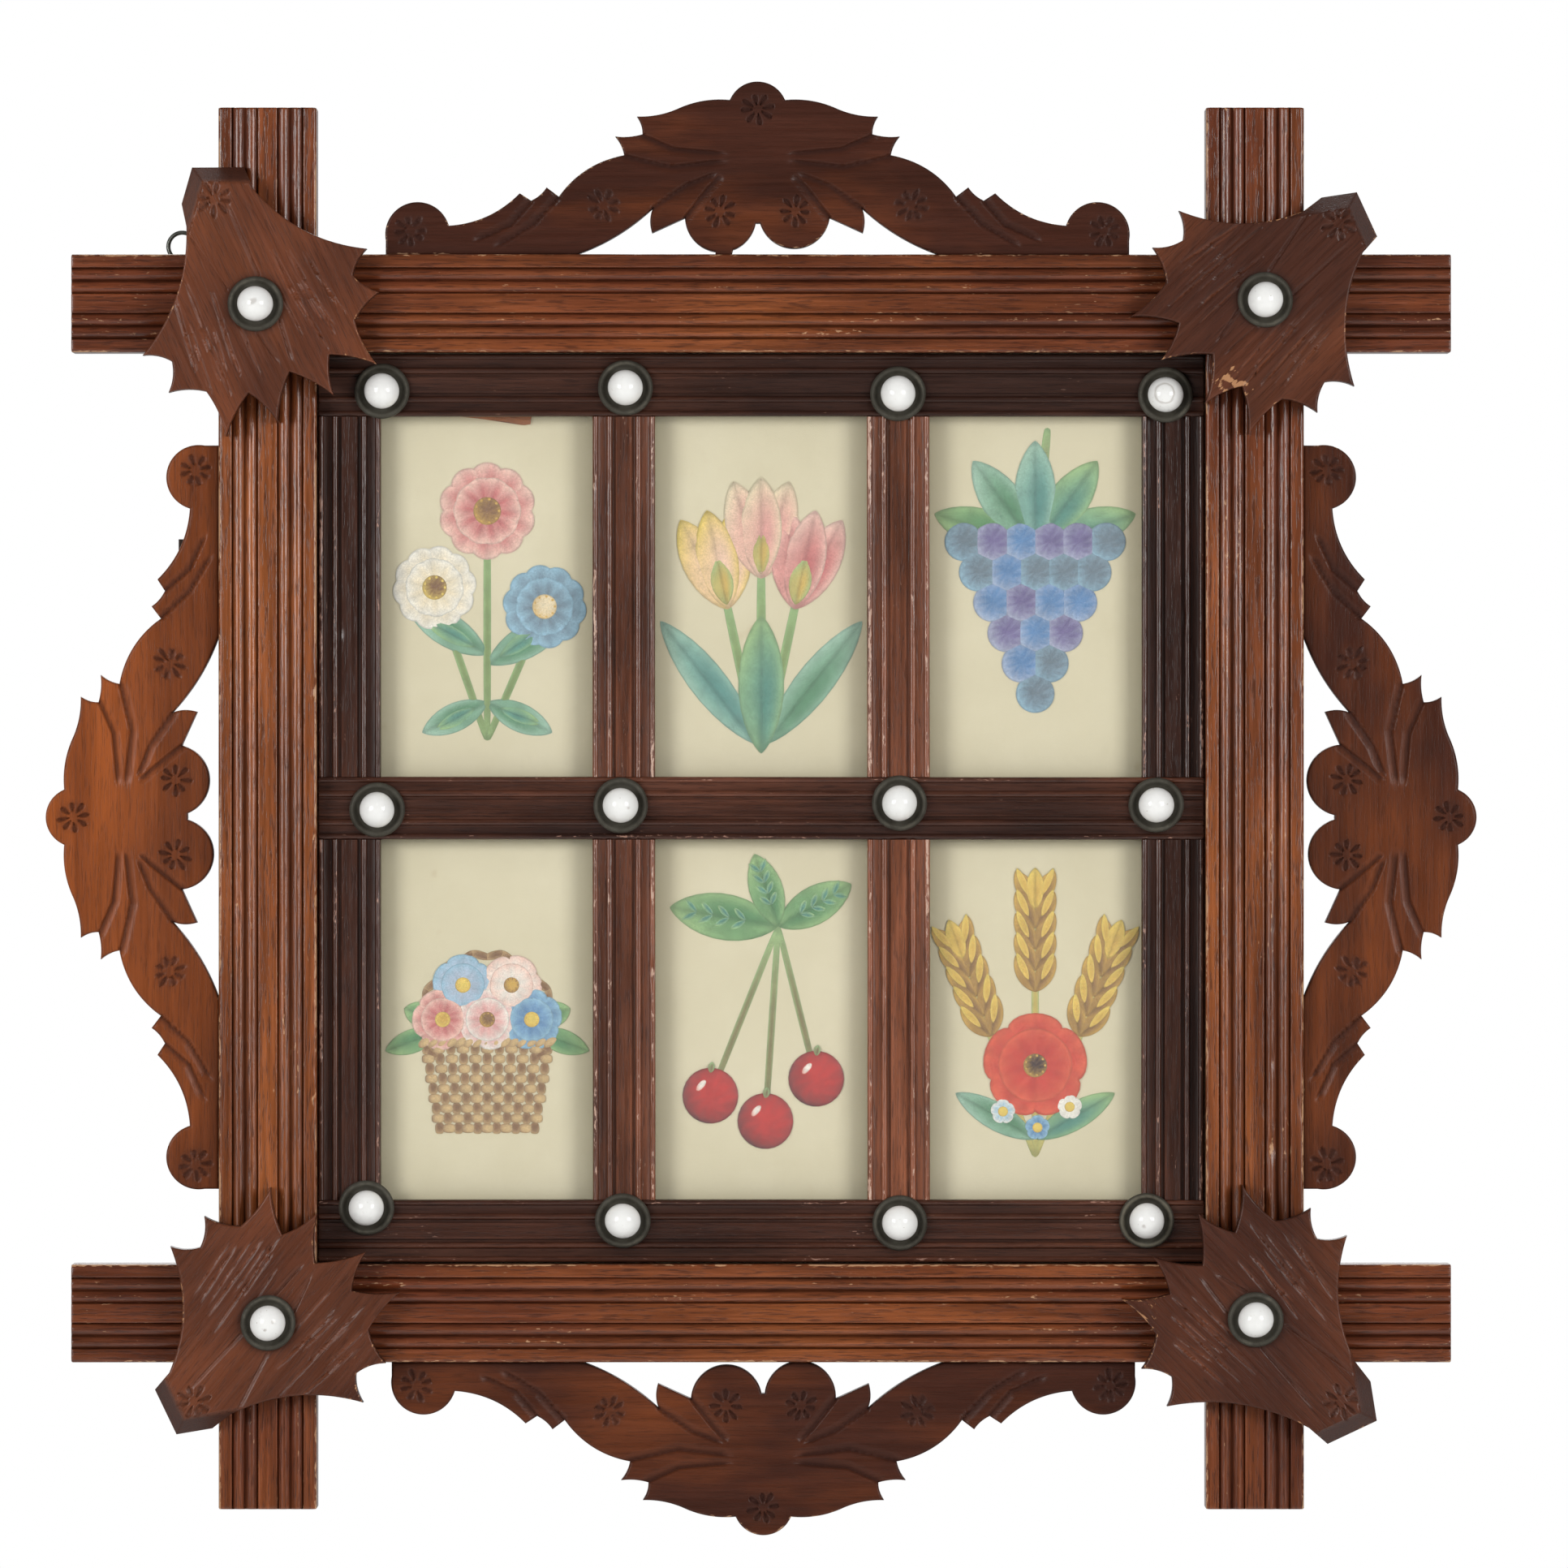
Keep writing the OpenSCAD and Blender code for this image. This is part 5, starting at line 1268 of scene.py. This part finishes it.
inks = {"leaf": (0.05, 0.2, 0.08), "leafLight": (0.33, 0.5, 0.22), "leafBlue": (0.05, 0.22, 0.2),
        "leafPale": (0.36, 0.55, 0.42), "stalk": (0.17, 0.22, 0.07), "twig": (0.2, 0.11, 0.05),
        "white": (0.8, 0.77, 0.68), "cream": (0.78, 0.66, 0.44), "pink": (0.72, 0.3, 0.28),
        "rose": (0.5, 0.09, 0.1), "blush": (0.82, 0.55, 0.45), "sky": (0.3, 0.5, 0.62),
        "blue": (0.1, 0.22, 0.42), "slate": (0.15, 0.2, 0.24), "violet": (0.16, 0.13, 0.28),
        "haze": (0.45, 0.5, 0.6), "gold": (0.62, 0.38, 0.08), "straw": (0.6, 0.42, 0.2),
        "brown": (0.22, 0.11, 0.05), "red": (0.52, 0.035, 0.03), "scarlet": (0.7, 0.12, 0.06),
        "dark": (0.06, 0.03, 0.03), "yellow": (0.75, 0.56, 0.12)}
patchRows = np.array([0.0, 0.2, 0.42, 0.62, 0.78, 0.9, 0.97, 1.0])
patchTurn = np.linspace(0, 2 * math.pi, 26, endpoint=False)
ribDeep = 0.09
highestPrint = 0.88


def ray(x, z, angle, reach):
    # the place at a distance from a point, in the direction of an angle
    a = math.radians(angle)
    return x + reach * math.cos(a), z + reach * math.sin(a)


class Scrap:
    # patches are kept as rows of numbers: place, angle, size, start, point, swell, lift, dome, crease, inks
    def __init__(self, size):
        self.size = size
        self.rows = []
        self.lift = 0.12

    def patch(self, x, z, angle, length, width, inkIn, inkOut, start=0.5, point=0.0, swell=0.0, dome=0.12,
              crease=0.0, lift=None):
        # an embossed oval that reaches out from its place, or is centred on it where start is 0
        lift = self.lift if lift is None else lift
        self.rows.append([x, z, angle, length, width, start, point, swell, lift, dome, crease,
                          *inks[inkIn], *inks[inkOut]])

    def leaflet(self, x, z, angle, length, width, inkIn="leaf", inkOut="leafLight", lift=None):
        # pointed at both ends, with a crease along the middle
        self.patch(x, z, angle, length, width, inkIn, inkOut, point=0.55, dome=0.14, crease=0.7, lift=lift)

    def stalk(self, x, z, angle, length, width=1.6, ink="stalk"):
        # nearly even in width along its length
        self.patch(x, z, angle, length, width, ink, "leafLight", point=-0.7, dome=0.08, lift=0.08)

    def ball(self, x, z, radius, inkIn, inkOut, dome=0.3, lift=None):
        # round and domed, centred on its place
        self.patch(x, z, 40, 2 * radius, 2 * radius, inkIn, inkOut, start=0.0, dome=dome, lift=lift)

    def splint(self, x, z, angle, length, width, inkIn, inkOut, lift, point=-0.2, dome=0.2):
        # a short oval or bar, centred on its place
        self.patch(x, z, angle, length, width, inkIn, inkOut, start=0.0, point=point, dome=dome, lift=lift)

    def flower(self, x, z, count, reach, petal, inkIn, inkOut, eyeIn, eyeOut, turn=90, layers=2):
        # layers of petals, an eye and nine dots round it
        for layer in range(layers):
            long = (reach + petal) * (1 - 0.3 * layer)
            wide = 2.15 * petal * (1 - 0.12 * layer)
            for k in range(count):
                angle = turn + (k + 0.5 * layer) * 360 / count
                lift = self.lift + 0.02 * (k % 2) + 0.12 * layer
                self.patch(x, z, angle, long, wide, inkIn, inkOut, point=0.05, swell=0.35, dome=0.13,
                           crease=0.25, lift=lift)
        self.ball(x, z, 0.33 * reach + 0.6, eyeIn, eyeOut, 0.16, self.lift + 0.14 * layers)
        for k in range(9):
            self.ball(*ray(x, z, 40 * k, 0.34 * reach), 0.42, eyeOut, eyeIn, 0.08, self.lift + 0.15 * layers)

    def make(self, name, node, column, row):
        # the share of the way out and a turn give each point; the height falls off from the middle to the rim
        rows = np.array(self.rows)
        x, z, angle, length, width, start, point, swell, lift, dome, crease = rows[:, :11].T[:, :, None, None]
        rho = patchRows[None, :, None]
        c, s = np.cos(patchTurn), np.sin(patchTurn)
        across = s * np.maximum(np.abs(s), 0.02) ** point * (1 + swell * c)
        u = length * (0.5 * rho * c + start)
        w = width * 0.5 * rho * across
        rib = crease * np.exp(-(rho * across / 0.13) ** 2) * (rho < 0.999)
        high = lift + dome * np.maximum(1 - rho ** 2, 0) ** 0.65 - ribDeep * rib
        turn = np.radians(angle)
        px = self.size * (x + u * np.cos(turn) - w * np.sin(turn))
        pz = self.size * (z + u * np.sin(turn) + w * np.cos(turn))
        # the colour runs from the inner ink at the heart and base to the outer ink at the rim and tip
        reach = 0.45 * (0.5 + 0.5 * rho * c) * (start > 0) - 0.25 * (start == 0) * rho * c
        rays = 0.12 * np.sin(17 * np.arctan2(w, u + 0.3 * length))
        blend = np.clip(0.55 * rho ** 2 + reach + rays, 0, 1)[..., None]
        inkIn, inkOut = rows[:, None, None, 11:14], rows[:, None, None, 14:17]
        darker = (1 - 0.35 * rib) * (1 - 0.3 * smooth(0.9, 1.0, rho))
        ink = (inkIn + (inkOut - inkIn) * blend) * darker[..., None]
        top = np.stack([px, high + 0 * px, pz], axis=-1)
        wall = top[:, -1:] * np.array([1, 0, 1])
        middle = np.repeat(wall.mean(axis=2, keepdims=True), len(patchTurn), axis=2)
        grid = np.concatenate([top, wall, middle], axis=1)
        colour = np.concatenate([ink, 0.7 * ink[:, -1:], 0.7 * ink[:, -1:]], axis=1)
        colour = np.concatenate([np.clip(colour, 0, 1), np.ones(colour.shape[:-1] + (1,))], axis=-1)
        grid[..., 0] += (uprightX[column] + uprightX[column + 1]) / 2
        grid[..., 2] += midZ + (crossbarZ[row] + crossbarZ[row + 1]) / 2
        grid[..., 1] = cardFront - np.minimum(grid[..., 1], highestPrint)
        makePiece(name, grid, copyFaces(grid), printed, [node],
                  {"ink": colour.reshape(-1, 4)}, crease=50)


def daisies():
    # three flowers on stalks that meet at the foot, with two pairs of leaves
    s = Scrap(1.3)
    for bx, bz in ((0, 18), (-11, 2), (12, -2)):
        s.stalk(0, -30, math.degrees(math.atan2(bz + 30, bx)), math.hypot(bx, bz + 30))
    for z, angle, length, width in ((-12, 148, 20, 7), (-14, 30, 20, 7), (-22, -155, 15, 6),
                                    (-22, -25, 15, 6)):
        s.leaflet(0, z, angle, length, width, "leaf", "leafPale")
        s.leaflet(*ray(0, z, angle, 3), angle + 4, length * 0.6, width * 0.5, "leafBlue", "leafLight", 0.2)
    s.lift = 0.22
    s.flower(0, 18, 10, 7, 3.2, "rose", "blush", "brown", "gold")
    s.flower(-11, 2, 10, 6, 2.8, "cream", "white", "brown", "yellow", 80)
    s.flower(12, -2, 10, 6, 2.8, "slate", "sky", "cream", "gold", 100)
    s.make("scrapDaisies", "scrap_daisies", 0, 0)


def tulips():
    # three blooms of three petals, over broad leaves
    s = Scrap(1.25)
    blooms = ((0, 90, 46, "pink", "cream"), (-1, 102, 40, "blush", "yellow"), (1, 78, 40, "rose", "blush"))
    for x, angle, length, inkIn, inkOut in blooms:
        s.stalk(x, -32, angle, length - 6, 2)
    s.leaflet(-1, -32, 128, 34, 8, "leafBlue", "leafPale", 0.12)
    s.leaflet(1, -32, 52, 34, 8, "leaf", "leafPale", 0.12)
    s.leaflet(0, -34, 90, 30, 10, "leafBlue", "leafLight", 0.2)
    for number, (x, angle, length, inkIn, inkOut) in enumerate(blooms):
        for k, lean in enumerate((-16, 16, 0)):
            s.leaflet(*ray(x, -32, angle, length - 10), angle + lean, 22, 9, inkIn, inkOut,
                      0.2 + 0.08 * k + 0.05 * (number == 0))
        s.leaflet(*ray(x, -32, angle, length - 9), angle, 11, 5, "gold", "leafLight", 0.42)
    s.make("scrapTulips", "scrap_tulips", 1, 0)


def grapes():
    # rows of six grapes down to one, below a fan of five leaves
    s = Scrap(1.25)
    s.stalk(0, 11, 84, 26, 2, "twig")
    for k, angle in enumerate((18, 162, 54, 126, 90)):
        inkIn = "leaf" if k % 2 else "leafBlue"
        inkOut = "leafLight" if k < 3 else "leafPale"
        s.leaflet(0, 11, angle, 23, 9, inkIn, inkOut, 0.12 + 0.03 * k)
    rng = np.random.default_rng(83)
    for row in range(6):
        for k in range(6 - row):
            pair = (("violet", "haze"), ("blue", "haze"), ("slate", "sky"))[rng.integers(3)]
            s.ball((k - (5 - row) / 2) * 6.2, 12 - row * 6.6, 4.2, *pair, 0.34, 0.2 + 0.05 * rng.random())
    s.make("scrapGrapes", "scrap_grapes", 2, 0)


def basket():
    s = Scrap(1.1)
    # handle, then splints woven over and under, and a rim
    for k in range(20):
        a = 218 - 256 * (k + 0.5) / 20
        s.splint(*ray(0, 0, a, 16), a - 90 + 22 * (-1) ** k, 5.2, 2.1, "brown", "straw", 0.1)
    for row in range(9):
        half = 12.7 + 4 * (row + 0.5) / 9
        for k in range(11):
            over = (row + k) % 2
            turn, long, inkIn, inkOut = (0, 3.1, "straw", "brown") if over else (90, 2.8, "brown", "straw")
            s.splint(half * (2 * (k + 0.5) / 11 - 1), -26.9 + 2.45 * row, turn, long, 2.3, inkIn, inkOut,
                     0.14 + 0.08 * over, -0.45, 0.15)
    for k in range(15):
        s.splint(-15.4 + 2.2 * k, -5.6, 35, 3.9, 2.2, "straw", "brown", 0.26)
    for x, z, angle, length in ((-12, -3, 200, 14), (12, -3, -20, 14), (-13, 0, 160, 8), (13, 0, 20, 8)):
        s.leaflet(x, z, angle, length, 6, lift=0.2)
    for lift, x, z, *look in ((0.26, -6, 8.5, "haze", "sky", "yellow", "gold", 90),
                              (0.26, 6, 8.5, "white", "blush", "gold", "brown", 60),
                              (0.3, -11, 0, "rose", "blush", "gold", "yellow", 40),
                              (0.3, 11, 0, "blue", "sky", "yellow", "gold", 20),
                              (0.34, 0, 0, "pink", "white", "brown", "gold", 75)):
        s.lift = lift
        s.flower(x, z, 5, 4, 3.6, *look)
    s.make("scrapBasket", "scrap_basket", 0, 1)


def cherries():
    # three cherries on stalks that meet at the top, with veined leaves
    s = Scrap(1.15)
    fruit = ((-12, -18), (1, -24), (13, -14))
    for x, z in fruit:
        s.stalk(x, z, math.degrees(math.atan2(22 - z, 4 - x)), math.hypot(4 - x, 22 - z), 1.6, "twig")
    for k, (angle, length, width) in enumerate(((170, 26, 11), (30, 20, 9), (108, 18, 8))):
        s.leaflet(4, 22, angle, length, width, "leaf", "leafLight", 0.14 + 0.05 * k)
        for t in (0.3, 0.45, 0.6, 0.75):
            for side in (-1, 1):
                s.leaflet(*ray(4, 22, angle, t * length), angle + 38 * side, 0.24 * width + 1.5, 1.4,
                          "leafBlue", "leafLight", 0.24 + 0.05 * k)
    for x, z in fruit:
        s.ball(x, z, 6.6, "red", "dark", 0.5, 0.26)
        s.splint(x - 2.2, z + 2.4, 50, 3.2, 1.5, "white", "scarlet", 0.7, 0.0, 0.02)
        s.leaflet(x, z + 5.4, 80, 2.6, 1.6, "twig", "leafLight", 0.5)
    s.make("scrapCherries", "scrap_cherries", 1, 1)


def wheat():
    # three ears of paired grains behind a poppy and small flowers
    s = Scrap(1.25)
    for angle, length in ((70, 50), (90, 58), (110, 50)):
        s.stalk(0, -30, angle, length, 1.6, "gold")
        for k in range(5):
            x, z = ray(0, -30, angle, length - 22 + 4.6 * k)
            for side in (-1, 1):
                s.leaflet(x, z, angle + 28 * side, 9, 4, "brown", "gold", 0.2 + 0.03 * k)
                s.patch(*ray(x, z, angle + 28 * side, 3), angle + 24 * side, 6.4, 1.6, "gold", "yellow",
                        point=0.4, dome=0.1, lift=0.34 + 0.03 * k)
        s.leaflet(*ray(0, -30, angle, length - 4), angle, 9, 4, "gold", "yellow", 0.4)
    s.leaflet(0, -26, 150, 20, 6, "leaf", "leafPale", 0.16)
    s.leaflet(0, -26, 30, 20, 6, "leafBlue", "leafLight", 0.16)
    s.lift = 0.3
    s.flower(0, -10, 5, 6, 5.4, "red", "scarlet", "dark", "gold")
    s.lift = 0.34
    for x, z, inkIn, inkOut in ((-7, -20, "sky", "white"), (7.5, -19, "white", "white"),
                                (0.5, -23.5, "blue", "sky")):
        s.flower(x, z, 5, 1.5, 1.2, inkIn, inkOut, "yellow", "gold", 90, 1)
    s.make("scrapWheat", "scrap_wheat", 2, 1)


for drawing in (daisies, tulips, grapes, basket, cherries, wheat):
    drawing()
print("scraps done")


# Pale floor far below, in rings of points round the middle, in metres

floorShape = {"drop": 0.55, "radius": 1.6, "rings": 12, "turns": 64}


def makeFloor():
    # a radius and an angle give each point, all at one level
    rings, turns = floorShape["rings"], floorShape["turns"]
    radius = floorShape["radius"] * np.linspace(0, 1, rings)[:, None]
    angle = np.linspace(0, 2 * math.pi, turns, endpoint=False)[None, :]
    level = np.full((rings, turns), midZ * mm - floorShape["drop"])
    points = np.stack([radius * np.cos(angle), radius * np.sin(angle), level], axis=-1)
    mesh = bpy.data.meshes.new("floor")
    mesh.from_pydata(points.reshape(-1, 3).tolist(), [], gridFaces(rings, turns, True).tolist())
    mesh.materials.append(floorPaint)
    floor = bpy.data.objects.new("floor", mesh)
    shown.collection.objects.link(floor)


makeFloor()
print("floor done")
